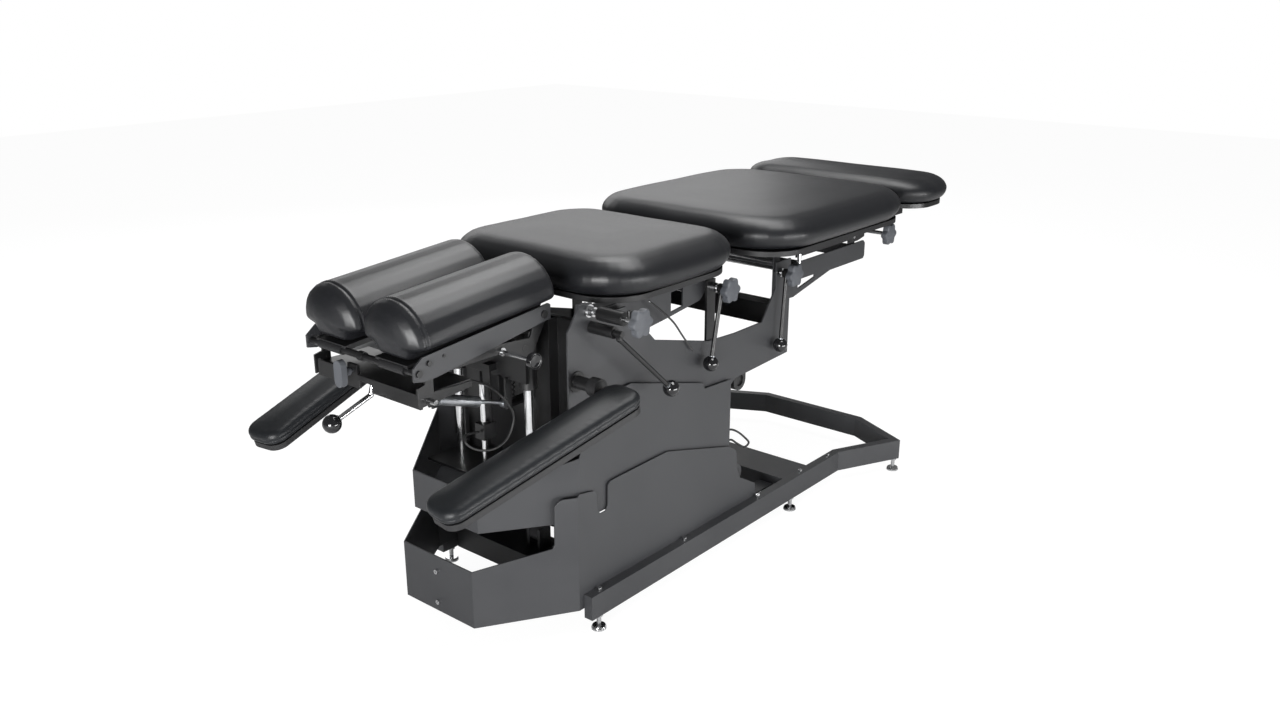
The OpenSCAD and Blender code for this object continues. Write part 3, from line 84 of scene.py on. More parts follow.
# %% Camera
CAMERA_AT = (-2.038, -1.630, 1.291)
AZIMUTH, ELEVATION = math.radians(-50.19), math.radians(18.53)
LENS, SENSOR = 31.86, 36.0
camera_data = bpy.data.cameras.new("portrait_camera")
camera_data.lens, camera_data.sensor_width = LENS, SENSOR
camera = bpy.data.objects.new("portrait_camera", camera_data)
bpy.context.scene.collection.objects.link(camera)
flat = math.cos(ELEVATION)
back = Vector((math.sin(AZIMUTH) * flat, -math.cos(AZIMUTH) * flat, math.sin(ELEVATION)))
camera.location = CAMERA_AT
camera.rotation_mode = "QUATERNION"
camera.rotation_quaternion = back.to_track_quat("Z", "Y")
bpy.context.scene.camera = camera
bpy.context.scene.view_settings.view_transform = "Standard"
print("camera looks along", tuple(round(-v, 3) for v in back))

# %% [markdown]
# ## Studio
# The photograph is a white sweep with large soft lights: one overhead, one at the head end, one low along
# the lever side and one behind. Black vinyl and black paint show mostly what they reflect, so big soft
# lamps matter more than bright ones.

# %% Floor, sky and lamps
def node(tree, kind, **settings):
    n = tree.nodes.new(kind)
    for k, v in settings.items():
        if k in n.inputs:
            n.inputs[k].default_value = v
        else:
            setattr(n, k, v)
    return n


def camera_sees(tree):
    """The camera sees plain white; reflections and bounced light see the dimmer studio."""
    return node(tree, "ShaderNodeLightPath").outputs["Is Camera Ray"]


SKY_LIGHT, PAPER_WHITE, PAPER_GLOW, GLOW_SHARE = 0.15, 0.82, 1.12, 0.85
world = bpy.data.worlds.new("studio_sweep")
bpy.context.scene.world = world
world.use_nodes = True
sky = world.node_tree
sky.nodes.clear()
soft = node(sky, "ShaderNodeBackground", Color=(1, 1, 1, 1), Strength=SKY_LIGHT)
plain = node(sky, "ShaderNodeBackground", Color=(1, 1, 1, 1), Strength=1.0)
choose = node(sky, "ShaderNodeMixShader")
sky.links.new(camera_sees(sky), choose.inputs["Fac"])
sky.links.new(soft.outputs[0], choose.inputs[1])
sky.links.new(plain.outputs[0], choose.inputs[2])
sky.links.new(choose.outputs[0], node(sky, "ShaderNodeOutputWorld").inputs["Surface"])

FLOOR_HALF = 9.0
bpy.ops.mesh.primitive_plane_add(size=2 * FLOOR_HALF, location=(0, 0, 0))
floor = bpy.context.object
floor.name = "studio_floor"
paper = bpy.data.materials.new("studio_paper")
paper.use_nodes = True
sheet = paper.node_tree
sheet.nodes.clear()
matt = node(sheet, "ShaderNodeBsdfDiffuse", Color=(PAPER_WHITE, PAPER_WHITE, PAPER_WHITE, 1))
glow = node(sheet, "ShaderNodeEmission", Color=(1, 1, 1, 1), Strength=PAPER_GLOW)
blend = node(sheet, "ShaderNodeMixShader")
share = node(sheet, "ShaderNodeMath", operation="MULTIPLY")
share.inputs[1].default_value = GLOW_SHARE
sheet.links.new(camera_sees(sheet), share.inputs[0])
sheet.links.new(share.outputs[0], blend.inputs["Fac"])
sheet.links.new(matt.outputs[0], blend.inputs[1])
sheet.links.new(glow.outputs[0], blend.inputs[2])
sheet.links.new(blend.outputs[0], node(sheet, "ShaderNodeOutputMaterial").inputs["Surface"])
floor.data.materials.append(paper)


def lamp(name, place, target, width, height, watts):
    data = bpy.data.lights.new(name, "AREA")
    data.shape, data.size, data.size_y, data.energy = "RECTANGLE", width, height, watts
    o = bpy.data.objects.new(name, data)
    bpy.context.scene.collection.objects.link(o)
    o.location = place
    o.rotation_mode = "QUATERNION"
    o.rotation_quaternion = (Vector(place) - Vector(target)).to_track_quat("Z", "Y")
    return o


LAMPS = [
    ("overhead_softbox", (0.5, -0.1, 2.9), (0.2, 0, 0.6), 3.2, 1.1, 86),
    ("head_end_softbox", (-3.4, -1.3, 0.6), (-0.4, 0, 0.3), 1.3, 0.8, 115),
    ("lever_side_softbox", (0.1, -2.9, 0.2), (0.1, 0, 0.1), 2.6, 0.4, 52),
    ("back_softbox", (2.2, 3.2, 2.1), (0.1, 0, 0.7), 4.0, 1.6, 34),
]
for settings in LAMPS:
    lamp(*settings)
print("studio:", len(LAMPS), "lamps")

# %% [markdown]
# ## Shared surface effects
# Grain, orange peel and faint handling marks come up in several finishes. Each is one node group with its
# own inputs, so the vinyl, the paint and the plastics share the recipe and keep their own scale.

# %% Node groups for grain and for handling marks
def group(name, inputs, outputs):
    g = bpy.data.node_groups.new(name, "ShaderNodeTree")
    for label, value in inputs:
        s = g.interface.new_socket(label, in_out="INPUT", socket_type="NodeSocketFloat")
        s.default_value = value
    for label in outputs:
        g.interface.new_socket(label, in_out="OUTPUT", socket_type="NodeSocketFloat")
    return g, g.nodes.new("NodeGroupInput"), g.nodes.new("NodeGroupOutput")


def math_node(tree, how, a, b=None, c=None):
    n = tree.nodes.new("ShaderNodeMath")
    n.operation = how
    for k, v in enumerate((a, b, c)):
        if v is None:
            continue
        if isinstance(v, (int, float)):
            n.inputs[k].default_value = v
        else:
            tree.links.new(v, n.inputs[k])
    return n.outputs[0]


def object_coordinates(tree):
    return node(tree, "ShaderNodeTexCoord").outputs["Object"]


def noise(tree, scale, detail=2.0, rough=0.5):
    n = node(tree, "ShaderNodeTexNoise", Detail=detail, Roughness=rough)
    tree.links.new(object_coordinates(tree), n.inputs["Vector"])
    if isinstance(scale, (int, float)):
        n.inputs["Scale"].default_value = scale
    else:
        tree.links.new(scale, n.inputs["Scale"])
    return n.outputs["Fac"]


grain, grain_in, grain_out = group("pebble_grain", [("Cells", 900.0), ("Creases", 0.35)],
    ["Height", "Valley"])
cells = node(grain, "ShaderNodeTexVoronoi", feature="SMOOTH_F1")
grain.links.new(object_coordinates(grain), cells.inputs["Vector"])
grain.links.new(grain_in.outputs["Cells"], cells.inputs["Scale"])
pebbles = math_node(grain, "SUBTRACT", 1.0, cells.outputs["Distance"])
folds = math_node(grain, "MULTIPLY", noise(grain, 60.0, 4.0, 0.6), grain_in.outputs["Creases"])
grain.links.new(math_node(grain, "ADD", pebbles, folds), grain_out.inputs["Height"])
grain.links.new(cells.outputs["Distance"], grain_out.inputs["Valley"])

peel, peel_in, peel_out = group("powder_coat", [("Bumps", 700.0)], ["Height", "Patch"])
peel.links.new(noise(peel, peel_in.outputs["Bumps"], 1.5, 0.4), peel_out.inputs["Height"])
peel.links.new(noise(peel, 7.0, 3.0, 0.55), peel_out.inputs["Patch"])

marks, marks_in, marks_out = group("handling_marks", [("Streaks", 260.0), ("Dust", 30.0)], ["Streak", "Film"])
stretched = node(marks, "ShaderNodeMapping")
stretched.inputs["Scale"].default_value = (0.12, 1.0, 1.0)
marks.links.new(object_coordinates(marks), stretched.inputs["Vector"])
lines = node(marks, "ShaderNodeTexNoise", Detail=3.0)
marks.links.new(stretched.outputs[0], lines.inputs["Vector"])
marks.links.new(marks_in.outputs["Streaks"], lines.inputs["Scale"])
marks.links.new(lines.outputs["Fac"], marks_out.inputs["Streak"])
marks.links.new(noise(marks, marks_in.outputs["Dust"], 4.0, 0.6), marks_out.inputs["Film"])
print("groups:", [g.name for g in bpy.data.node_groups])

# %% [markdown]
# ## Finishes
# One function lays out a finish: a varying colour, a varying roughness and a height that becomes a fine
# bump. What is constant sits on the shader itself. Folded sheet also gets softly rounded edges, since real
# powder coat never ends in a razor edge.

# %% Finish builder
EFFECT_LOW, EFFECT_HIGH, BUMP_STRENGTH = 0.3, 0.7, 0.6


def remap(tree, value, low, high):
    n = node(tree, "ShaderNodeMapRange")
    tree.links.new(value, n.inputs["Value"])
    n.inputs["From Min"].default_value, n.inputs["From Max"].default_value = EFFECT_LOW, EFFECT_HIGH
    n.inputs["To Min"].default_value, n.inputs["To Max"].default_value = low, high
    return n.outputs["Result"]


def tint(tree, value, dark, light):
    ramp = node(tree, "ShaderNodeValToRGB")
    ends = ramp.color_ramp.elements
    ends[0].position, ends[1].position = EFFECT_LOW, EFFECT_HIGH
    ends[0].color, ends[1].color = (*dark, 1), (*light, 1)
    tree.links.new(value, ramp.inputs["Fac"])
    return ramp.outputs["Color"]


def finish(name, effect, settings, height, colour_by, rough_by, dark, light, rough, depth, edge=0.0,
        **shader):
    m = bpy.data.materials.new(name)
    m.use_nodes = True
    tree = m.node_tree
    tree.nodes.clear()
    bsdf = node(tree, "ShaderNodeBsdfPrincipled")
    for label, value in shader.items():
        bsdf.inputs[label.replace("_", " ")].default_value = value
    g = tree.nodes.new("ShaderNodeGroup")
    g.node_tree = effect
    for label, value in settings.items():
        g.inputs[label].default_value = value
    tree.links.new(tint(tree, g.outputs[colour_by], dark, light), bsdf.inputs["Base Color"])
    tree.links.new(remap(tree, g.outputs[rough_by], *rough), bsdf.inputs["Roughness"])
    bump = node(tree, "ShaderNodeBump", Strength=BUMP_STRENGTH, Distance=depth)
    tree.links.new(g.outputs[height], bump.inputs["Height"])
    if edge:
        rounded = node(tree, "ShaderNodeBevel", samples=4, Radius=edge)
        tree.links.new(rounded.outputs[0], bump.inputs["Normal"])
    tree.links.new(bump.outputs[0], bsdf.inputs["Normal"])
    tree.links.new(bsdf.outputs[0], node(tree, "ShaderNodeOutputMaterial").inputs["Surface"])
    return m


# %% The finishes of this table
vinyl = finish("upholstery_vinyl", grain, {"Cells": 850.0, "Creases": 0.5}, "Height", "Valley", "Valley",
    (0.007, 0.0075, 0.009), (0.011, 0.0115, 0.0135), (0.36, 0.46), 0.0002, Specular_IOR_Level=0.42)
armrest_vinyl = finish("armrest_vinyl", grain, {"Cells": 700.0, "Creases": 0.4}, "Height", "Valley", "Valley",
    (0.008, 0.009, 0.0105), (0.012, 0.0135, 0.0155), (0.38, 0.48), 0.00028, Specular_IOR_Level=0.34)
powder = finish("black_powder_coat", peel, {"Bumps": 900.0}, "Height", "Patch", "Patch",
    (0.03, 0.031, 0.034), (0.038, 0.039, 0.042), (0.42, 0.52), 0.00012, edge=0.0012)
inner_paint = finish("inner_black_paint", peel, {"Bumps": 600.0}, "Height", "Patch", "Patch",
    (0.006, 0.006, 0.0065), (0.01, 0.01, 0.0105), (0.28, 0.42), 0.0001, edge=0.0008)
board_finish = finish("coated_board", grain, {"Cells": 1200.0, "Creases": 0.2}, "Height", "Valley", "Valley",
    (0.008, 0.008, 0.009), (0.014, 0.014, 0.015), (0.5, 0.65), 0.0001, edge=0.001)
plated = finish("bright_plating", marks, {"Streaks": 420.0, "Dust": 45.0}, "Streak", "Film", "Streak",
    (0.62, 0.63, 0.64), (0.78, 0.78, 0.79), (0.1, 0.22), 0.00003, Metallic=1.0)
zinc = finish("zinc_plating", marks, {"Streaks": 300.0, "Dust": 60.0}, "Streak", "Film", "Film",
    (0.42, 0.44, 0.47), (0.6, 0.62, 0.64), (0.26, 0.42), 0.00004, Metallic=1.0)
spring_steel = finish("oiled_spring_steel", marks, {"Streaks": 500.0, "Dust": 80.0}, "Streak", "Film", "Film",
    (0.02, 0.02, 0.021), (0.05, 0.05, 0.052), (0.3, 0.45), 0.00003, Metallic=0.6)
grip_plastic = finish("grey_knob_moulding", peel, {"Bumps": 1600.0}, "Height", "Patch", "Patch",
    (0.06, 0.065, 0.075), (0.085, 0.09, 0.1), (0.5, 0.62), 0.00012)
ball_plastic = finish("black_ball_moulding", marks, {"Streaks": 40.0, "Dust": 25.0}, "Film", "Film", "Film",
    (0.006, 0.006, 0.007), (0.012, 0.012, 0.013), (0.06, 0.12), 0.00002, Coat_Weight=0.4)
motor_paint = finish("motor_housing", peel, {"Bumps": 500.0}, "Height", "Patch", "Patch",
    (0.03, 0.03, 0.032), (0.05, 0.05, 0.052), (0.4, 0.55), 0.0001, edge=0.001)
jacket = finish("cable_jacket", marks, {"Streaks": 200.0, "Dust": 60.0}, "Film", "Film", "Film",
    (0.012, 0.012, 0.012), (0.02, 0.02, 0.021), (0.4, 0.55), 0.00004)
thread = finish("stitching_thread", grain, {"Cells": 5000.0, "Creases": 0.1}, "Height", "Valley", "Valley",
    (0.02, 0.02, 0.022), (0.045, 0.045, 0.05), (0.5, 0.65), 0.0001)
print("finishes:", [m.name for m in bpy.data.materials if m.name != "studio_paper"])

# %% [markdown]
# The frame's own parts keep their shape and get these finishes by node name. Guide rods, pins, feet and
# screws are plated, and the folded sheet is powder coated. The mechanism and the lever rods on the side
# have the thinner, shinier black of machined parts.

# %% Dress the frame's nodes
DRESS = {
    powder: ["base_skirt", "side_rails", "rear_loop", "upper_skirt", "side_plates", "pelvic_arms",
        "head_upper_frame", "chest_frame", "cross_beams"],
    inner_paint: ["scissor_outer", "scissor_inner", "lift_tracks", "mast_frame", "cross_tubes",
        "head_carriage", "head_lower_frame", "head_crossbar", "leg_slide", "chest_lever_rod",
        "lumbar_lever_rod", "pelvic_lever_rod"],
    board_finish: ["head_board_near", "head_board_far", "armrest_board_near", "armrest_board_far",
        "chest_board", "pelvic_board", "power_inlet"],
    plated: ["levelling_feet", "frame_screws", "guide_rods", "hinge_pins", "head_lever_rod", "chest_rods",
        "pelvic_pins", "side_knob_shaft", "actuator_rod"],
    zinc: ["gas_spring_body", "gas_spring_rod"],
    spring_steel: ["balance_spring"],
    motor_paint: ["actuator_body"],
    jacket: ["control_cable", "release_cable"],
    grip_plastic: ["chest_knob", "lumbar_knob", "pelvic_knob", "leg_knob", "tilt_handle"],
    ball_plastic: ["head_lever_ball", "chest_lever_ball", "lumbar_lever_ball", "pelvic_lever_ball",
        "side_knob"],
    vinyl: ["head_cushion_near", "head_cushion_far", "chest_cushion", "pelvic_cushion", "leg_cushion"],
    armrest_vinyl: ["armrest_pad_near", "armrest_pad_far"],
}
for material, names in DRESS.items():
    for name in names:
        cad = nodes[name]
        cad.data.materials.clear()
        cad.data.materials.append(material)
print("dressed", sum(len(v) for v in DRESS.values()), "of", len(nodes), "nodes")

# %% [markdown]
# ## Cables
# Two thin cables show: a control cable that loops behind the skirt, and the release cable that hangs in a
# loop by the gas spring. Each is drawn as one open curve through the same points as the frame's solid, so
# that it lies in its place. The control cable also gets a small moulded connector at each end.

# %% Cables
def cable_line(points, steps=6):
    """A smooth line through the points, by the usual four-point blend."""
    line = []
    for i in range(len(points) - 1):
        a, b, c, d = (points[min(max(k, 0), len(points) - 1)] for k in (i - 1, i, i + 1, i + 2))
        for k in range(steps):
            t = k / steps
            line.append((2 * b + (c - a) * t + (2 * a - 5 * b + 4 * c - d) * t * t
                + (3 * b - a - 3 * c + d) * t ** 3) / 2)
    return line + [points[-1]]


def cable(name, points, diameter, replaced, body):
    line = cable_line([at(*p) for p in points])
    curve = bpy.data.curves.new(name, "CURVE")
    curve.dimensions, curve.bevel_depth, curve.bevel_resolution, curve.use_fill_caps = (
        "3D", diameter / 2, 4, True)
    spline = curve.splines.new("POLY")
    spline.points.add(len(line) - 1)
    for point, place in zip(spline.points, line):
        point.co = (*place, 1)
    piece = bpy.data.objects.new(name, curve)
    bpy.context.scene.collection.objects.link(piece)
    curve.materials.append(jacket)
    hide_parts(replaced)
    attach(piece, body)
    return piece


CONTROL_POINTS = [(509, -209, 290), (530, -209, 288), (562, -209, 270), (600, -209, 238), (603, -209, 228),
    (585, -209, 226), (556, -209, 244), (530, -209, 262), (509, -209, 263)]
RELEASE_POINTS = [(-206, -92, 588), (-196, -92, 586), (-184, -92, 582), (-130, -92, 556), (-92, -92, 524),
    (-66, -92, 490), (-56, -90, 460), (-72, -86, 424), (-104, -80, 410), (-140, -72, 418), (-158, -62, 434),
    (-148, -48, 444), (-124, -36, 438), (-97, -30, 431)]
CONNECTOR, CONNECTOR_EDGE, CABLE_THICK = Vector((15.6, 6.8, 11.6)) * MM, 1.4 * MM, 5 * MM


def connector(name, end):
    select_only()
    bpy.ops.mesh.primitive_cube_add(size=1, location=(0, 0, 0))
    block = bpy.context.object
    block.name = name
    block.data.transform(Matrix.Diagonal((*CONNECTOR, 1)))
    bpy.ops.object.mode_set(mode="EDIT")
    bpy.ops.mesh.select_all(action="SELECT")
    bpy.ops.mesh.bevel(offset=CONNECTOR_EDGE, segments=3)
    bpy.ops.object.mode_set(mode="OBJECT")
    block.data.transform(Matrix.Translation(at(*end) - Vector((CONNECTOR.x / 2, 0, 0))))
    block.data.materials.append(ball_plastic)
    bpy.ops.object.shade_smooth_by_angle(angle=math.radians(35))
    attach(block, "lift")
    return block


plugs = [connector("upper_connector", CONTROL_POINTS[0]), connector("lower_connector", CONTROL_POINTS[-1])]
cable("control_cable_cord", CONTROL_POINTS, CABLE_THICK, "control_cable", "lift")
cable("release_cable_cord", RELEASE_POINTS, CABLE_THICK, "release_cable", "carriage")

# %% [markdown]
# ## Upholstery
# A table cushion is firm foam on a board, wrapped in vinyl that is pulled tight underneath. The frame's
# solid has the right outline, so a copy of it is remeshed evenly and blown up a little as cloth with its
# underside held. That rounds the edges as foam under tension does. How far a point may move is capped so
# that the size stays true.

# %% Cloth helper
SIM_FRAMES, SETTLE_PASSES = 20, 60
PRESSURE, COVER_MASS, COVER_STRETCH, COVER_BEND, COVER_QUALITY = 4.0, 0.4, 40, 2, 4
EASE = 0.5


def even_copy(name, source, voxel, shrink):
    mesh = nodes[source].data.copy()
    piece = bpy.data.objects.new(name, mesh)
    bpy.context.scene.collection.objects.link(piece)
    select_only(piece)
    bpy.ops.object.mode_set(mode="EDIT")
    bpy.ops.mesh.select_all(action="SELECT")
    bpy.ops.mesh.remove_doubles(threshold=0.01 * MM)
    bpy.ops.mesh.normals_make_consistent(inside=False)
    bpy.ops.object.mode_set(mode="OBJECT")
    remesh = piece.modifiers.new("even", "REMESH")
    remesh.mode, remesh.voxel_size = "VOXEL", voxel
    bpy.ops.object.modifier_apply(modifier=remesh.name)
    smooth = piece.modifiers.new("ease", "SMOOTH")
    smooth.factor, smooth.iterations = EASE, 3
    bpy.ops.object.modifier_apply(modifier=smooth.name)
    inward = piece.modifiers.new("shrink", "DISPLACE")
    inward.strength, inward.mid_level = -shrink, 0.0
    bpy.ops.object.modifier_apply(modifier=inward.name)
    return piece


def settle(piece, start, cap):
    """Tight vinyl doesn't pucker: the swelling is averaged over neighbouring points, then capped."""
    swell = [v.co - p for v, p in zip(piece.data.vertices, start)]
    swell = [d if d.length < cap else d.normalized() * cap for d in swell]
    beside = [[] for _ in start]
    for e in piece.data.edges:
        a, b = e.vertices
        beside[a].append(b)
        beside[b].append(a)
    for _ in range(SETTLE_PASSES):
        swell = [(d + sum((swell[k] for k in near), Vector()) / max(1, len(near))) / 2
            for d, near in zip(swell, beside)]
    for v, p, d in zip(piece.data.vertices, start, swell):
        v.co = p + d


def blow_up(piece, cap, held):
    """Cloth pressure rounds the cover. held(point) says which points are stapled to the board."""
    start = [v.co.copy() for v in piece.data.vertices]
    pins = piece.vertex_groups.new(name="stapled")
    pins.add([i for i, p in enumerate(start) if held(p)], 1.0, "REPLACE")
    cloth = piece.modifiers.new("cover", "CLOTH")
    cloth.settings.quality = COVER_QUALITY
    cloth.settings.mass = COVER_MASS
    cloth.settings.tension_stiffness = cloth.settings.compression_stiffness = COVER_STRETCH
    cloth.settings.bending_stiffness = COVER_BEND
    cloth.settings.use_pressure = True
    cloth.settings.uniform_pressure_force = PRESSURE
    cloth.settings.vertex_group_mass = pins.name
    cloth.settings.effector_weights.gravity = 0
    cloth.collision_settings.use_self_collision = False
    scene = bpy.context.scene
    for f in range(1, SIM_FRAMES + 1):
        scene.frame_set(f)
    bpy.ops.object.modifier_apply(modifier=cloth.name)
    piece.vertex_groups.clear()
    settle(piece, start, cap)
    scene.frame_set(1)


def round_off(piece, passes=2):
    select_only(piece)
    smooth = piece.modifiers.new("ease", "SMOOTH")
    smooth.factor, smooth.iterations = EASE, passes
    bpy.ops.object.modifier_apply(modifier=smooth.name)
    divide = piece.modifiers.new("fine", "SUBSURF")
    divide.levels = divide.render_levels = 1
    bpy.ops.object.modifier_apply(modifier=divide.name)
    bpy.ops.object.shade_smooth()


def cover(piece, source, body, material):
    """The finished cover takes the place of the frame's plain cushion and moves with its body."""
    piece.data.materials.clear()
    piece.data.materials.append(material)
    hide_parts(source)
    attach(piece, body)


# %% Chest, pelvic and leg cushions
TABLE_SHRINK, TABLE_CAP, TABLE_HOLD = 0.0015, 0.006, 0.005
TABLE_VOXELS = {"chest": 0.006, "pelvic": 0.0065, "leg": 0.006}
for label, voxel in TABLE_VOXELS.items():
    cushion = even_copy(f"{label}_upholstery", f"{label}_cushion", voxel, TABLE_SHRINK)
    floor_z = min(v.co.z for v in cushion.data.vertices)
    blow_up(cushion, TABLE_CAP, lambda p: p.z < floor_z + TABLE_HOLD)
    round_off(cushion)
    cover(cushion, f"{label}_cushion", label, vinyl)
    print(cushion.name, len(cushion.data.polygons), "faces")

# %% [markdown]
# ## Armrests and head bolsters
# Both come in pairs that mirror each other. One of each pair is made, and the other is its mirror image
# with its own mesh, so that the two sides match as sewn parts cut from one pattern do.

# %% Armrests and head bolsters
def mirrored(piece, name, source, body):
    mesh = piece.data.copy()
    mesh.transform(Matrix.Scale(-1, 4, (0, 1, 0)))
    mesh.flip_normals()
    twin = bpy.data.objects.new(name, mesh)
    bpy.context.scene.collection.objects.link(twin)
    if source:
        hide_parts(source)
    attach(twin, body)
    return twin


ARM_TILT, ARM_TOE = math.radians(15), math.radians(-9)
ARM_VOXEL, HEAD_VOXEL, PAIR_SHRINK, PAIR_CAP, ARM_HOLD, HEAD_HOLD = 0.0045, 0.004, 0.002, 0.005, 0.006, 0.062
arm_near = even_copy("armrest_near_upholstery", "armrest_pad_near", ARM_VOXEL, PAIR_SHRINK)
arm_up = Matrix.Rotation(ARM_TOE, 3, "Z") @ Matrix.Rotation(-ARM_TILT, 3, "Y") @ Vector((0, 0, 1))
arm_low = min(v.co.dot(arm_up) for v in arm_near.data.vertices)
blow_up(arm_near, PAIR_CAP, lambda p: p.dot(arm_up) < arm_low + ARM_HOLD)
round_off(arm_near)
cover(arm_near, "armrest_pad_near", "armrest_near", armrest_vinyl)
arm_far = mirrored(arm_near, "armrest_far_upholstery", "armrest_pad_far", "armrest_far")

HEAD_SLOPE = math.radians(5)
TILT_AT = at(-78, 0, 628)
head_place = Matrix.Translation(TILT_AT) @ Matrix.Rotation(-HEAD_SLOPE, 4, "Y")
head_local = head_place.inverted()
head_near = even_copy("head_near_upholstery", "head_cushion_near", HEAD_VOXEL, PAIR_SHRINK)
blow_up(head_near, PAIR_CAP, lambda p: (head_local @ p).z < HEAD_HOLD)
print("armrest", len(arm_near.data.polygons), "head", len(head_near.data.polygons), "faces")

# %% [markdown]
# The head bolsters carry the only stitching that shows: a cap is sewn to the front with a seam that sinks
# between two rows of stitches. The seam is pressed into the mesh first. Then single stitches are laid on
# the surface beside it.

# %% Seam and stitches of the head bolsters
SEAM_U, SEAM_DEPTH, SEAM_WIDE, SEAM_FOOT = -240 * MM, 1.6 * MM, 2.6 * MM, 0.07
WELT_AWAY, WELT_RISE, WELT_WIDE = 5.5 * MM, -0.5 * MM, 3.2 * MM
PAD_MIDDLE_Y, PAD_HALF, PAD_TALL, PAD_BASE, PAD_WAIST = -88 * MM, 84 * MM, 111 * MM, 53 * MM, 0.29
CLEAR_OF_PAD = 1.02


def press_seam(piece, u, depth, width):
    normals = [v.normal.copy() for v in piece.data.vertices]
    for v, n in zip(piece.data.vertices, normals):
        q = head_local @ v.co
        if q.z > SEAM_FOOT:
            v.co -= n * depth * math.exp(-(((q.x - u) / width) ** 2))


def arch(u, t):
    """A point of the bolster's arched section, from one side over the top to the other."""
    a = math.pi * t
    return head_place @ Vector((u, PAD_MIDDLE_Y + CLEAR_OF_PAD * PAD_HALF * math.cos(a),
        PAD_BASE + PAD_TALL * (PAD_WAIST + CLEAR_OF_PAD * (1 - PAD_WAIST) * math.sin(a))))


round_off(head_near, 3)
press_seam(head_near, SEAM_U, SEAM_DEPTH, SEAM_WIDE)
press_seam(head_near, SEAM_U - WELT_AWAY, WELT_RISE, WELT_WIDE)
press_seam(head_near, SEAM_U + WELT_AWAY, WELT_RISE, WELT_WIDE)
cover(head_near, "head_cushion_near", "head_near", vinyl)
mirrored(head_near, "head_far_upholstery", "head_cushion_far", "head_far")

STITCH_LONG, STITCH_THICK, STITCH_GAP, STITCH_RISE = 4.2 * MM, 0.9 * MM, 1.6 * MM, 0.15 * MM
STITCH_AWAY, STITCH_STEPS = 5 * MM, 400


def stitch_row(name, piece, u, body):
    tree = BVHTree.FromObject(piece, bpy.context.evaluated_depsgraph_get())
    path = [tree.find_nearest(arch(u, (i + 0.5) / STITCH_STEPS)) for i in range(STITCH_STEPS)]
    bm = bmesh.new()
    run = 0.0
    for (p, n, _, _), (q, _, _, _) in zip(path, path[1:]):
        run += (q - p).length
        if run < STITCH_LONG + STITCH_GAP:
            continue
        run = 0.0
        along = (q - p).normalized()
        side = n.cross(along).normalized()
        turn = Matrix((along, side, n)).transposed().to_4x4()
        size = Matrix.Diagonal((STITCH_LONG / 2, STITCH_THICK / 2, STITCH_THICK / 2, 1))
        bmesh.ops.create_icosphere(bm, subdivisions=1, radius=1,
            matrix=Matrix.Translation(p + n * STITCH_RISE) @ turn @ size)
    mesh = bpy.data.meshes.new(name)
    bm.to_mesh(mesh)
    bm.free()
    row = bpy.data.objects.new(name, mesh)
    bpy.context.scene.collection.objects.link(row)
    mesh.materials.append(thread)
    select_only(row)
    bpy.ops.object.shade_smooth()
    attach(row, body)
    return row


for k, u in enumerate((SEAM_U - STITCH_AWAY, SEAM_U + STITCH_AWAY)):
    row = stitch_row(f"head_near_stitches_{k}", head_near, u, "head_near")
    mirrored(row, f"head_far_stitches_{k}", None, "head_far")
print("stitches:", len(row.data.polygons), "faces a row")

# %% [markdown]
# Each armrest pad shows one line near its foot, between the pad and its band. It is a groove pressed all
# round, level with the pad, so the direction that counts as up is the pad's own.

# %% Fold lines round the armrest pads
LINE_HEIGHT, LINE_DEPTH, LINE_WIDE = 11 * MM, 1.8 * MM, 2.2 * MM


def press_line(piece, up):
    low = min(v.co.dot(up) for v in piece.data.vertices)
    normals = [v.normal.copy() for v in piece.data.vertices]
    for v, n in zip(piece.data.vertices, normals):
        level = n - up * n.dot(up)
        away = (v.co.dot(up) - low - LINE_HEIGHT) / LINE_WIDE
        v.co -= level * LINE_DEPTH * math.exp(-away * away)


press_line(arm_near, arm_up)
press_line(arm_far, Vector((arm_up.x, -arm_up.y, arm_up.z)))
print("fold lines pressed on 2 armrest pads")

# %% [markdown]
# ## Star knobs
# A moulded star knob is a round body with lobes, a crowned face and a collar behind. One is shaped lying on
# its back from a circle whose rim swells into lobes; the four on the table are copies stood up along their
# shafts.

# %% Star knob pattern
KNOB_LOBES, KNOB_TIP, KNOB_VALLEY, KNOB_BODY, KNOB_COLLAR = 6, 28.6 * MM, 22.6 * MM, 17 * MM, 5 * MM
COLLAR_R, CAP_R, SHAFT_R = 12 * MM, 8.5 * MM, 5 * MM
CROWN_RISE, CROWN_INSET, KNOB_EDGE, LOBE_POWER = 1.2 * MM, 5 * MM, 2.2 * MM, 0.8
CAP_THICK, CAP_SINK, BACK_GAP = 1.2 * MM, 0.5 * MM, 0.3 * MM


def bevelled(piece, width, segments=3, angle=35):
    select_only(piece)
    soft_edge = piece.modifiers.new("soft_edge", "BEVEL")
    soft_edge.width, soft_edge.segments, soft_edge.angle_limit = width, segments, math.radians(angle)
    soft_edge.limit_method = "ANGLE"
    bpy.ops.object.modifier_apply(modifier=soft_edge.name)
    bpy.ops.object.shade_smooth_by_angle(angle=math.radians(angle))
    return piece


def cylinder(name, radius, depth, middle=(0, 0, 0), sides=64):
    select_only()
    bpy.ops.mesh.primitive_cylinder_add(vertices=sides, radius=radius, depth=depth, location=(0, 0, 0))
    piece = bpy.context.object
    piece.name = name
    piece.data.transform(Matrix.Translation(middle))
    return piece


def joined(name, *pieces):
    select_only(*pieces)
    bpy.ops.object.join()
    pieces[0].name = name
    return pieces[0]


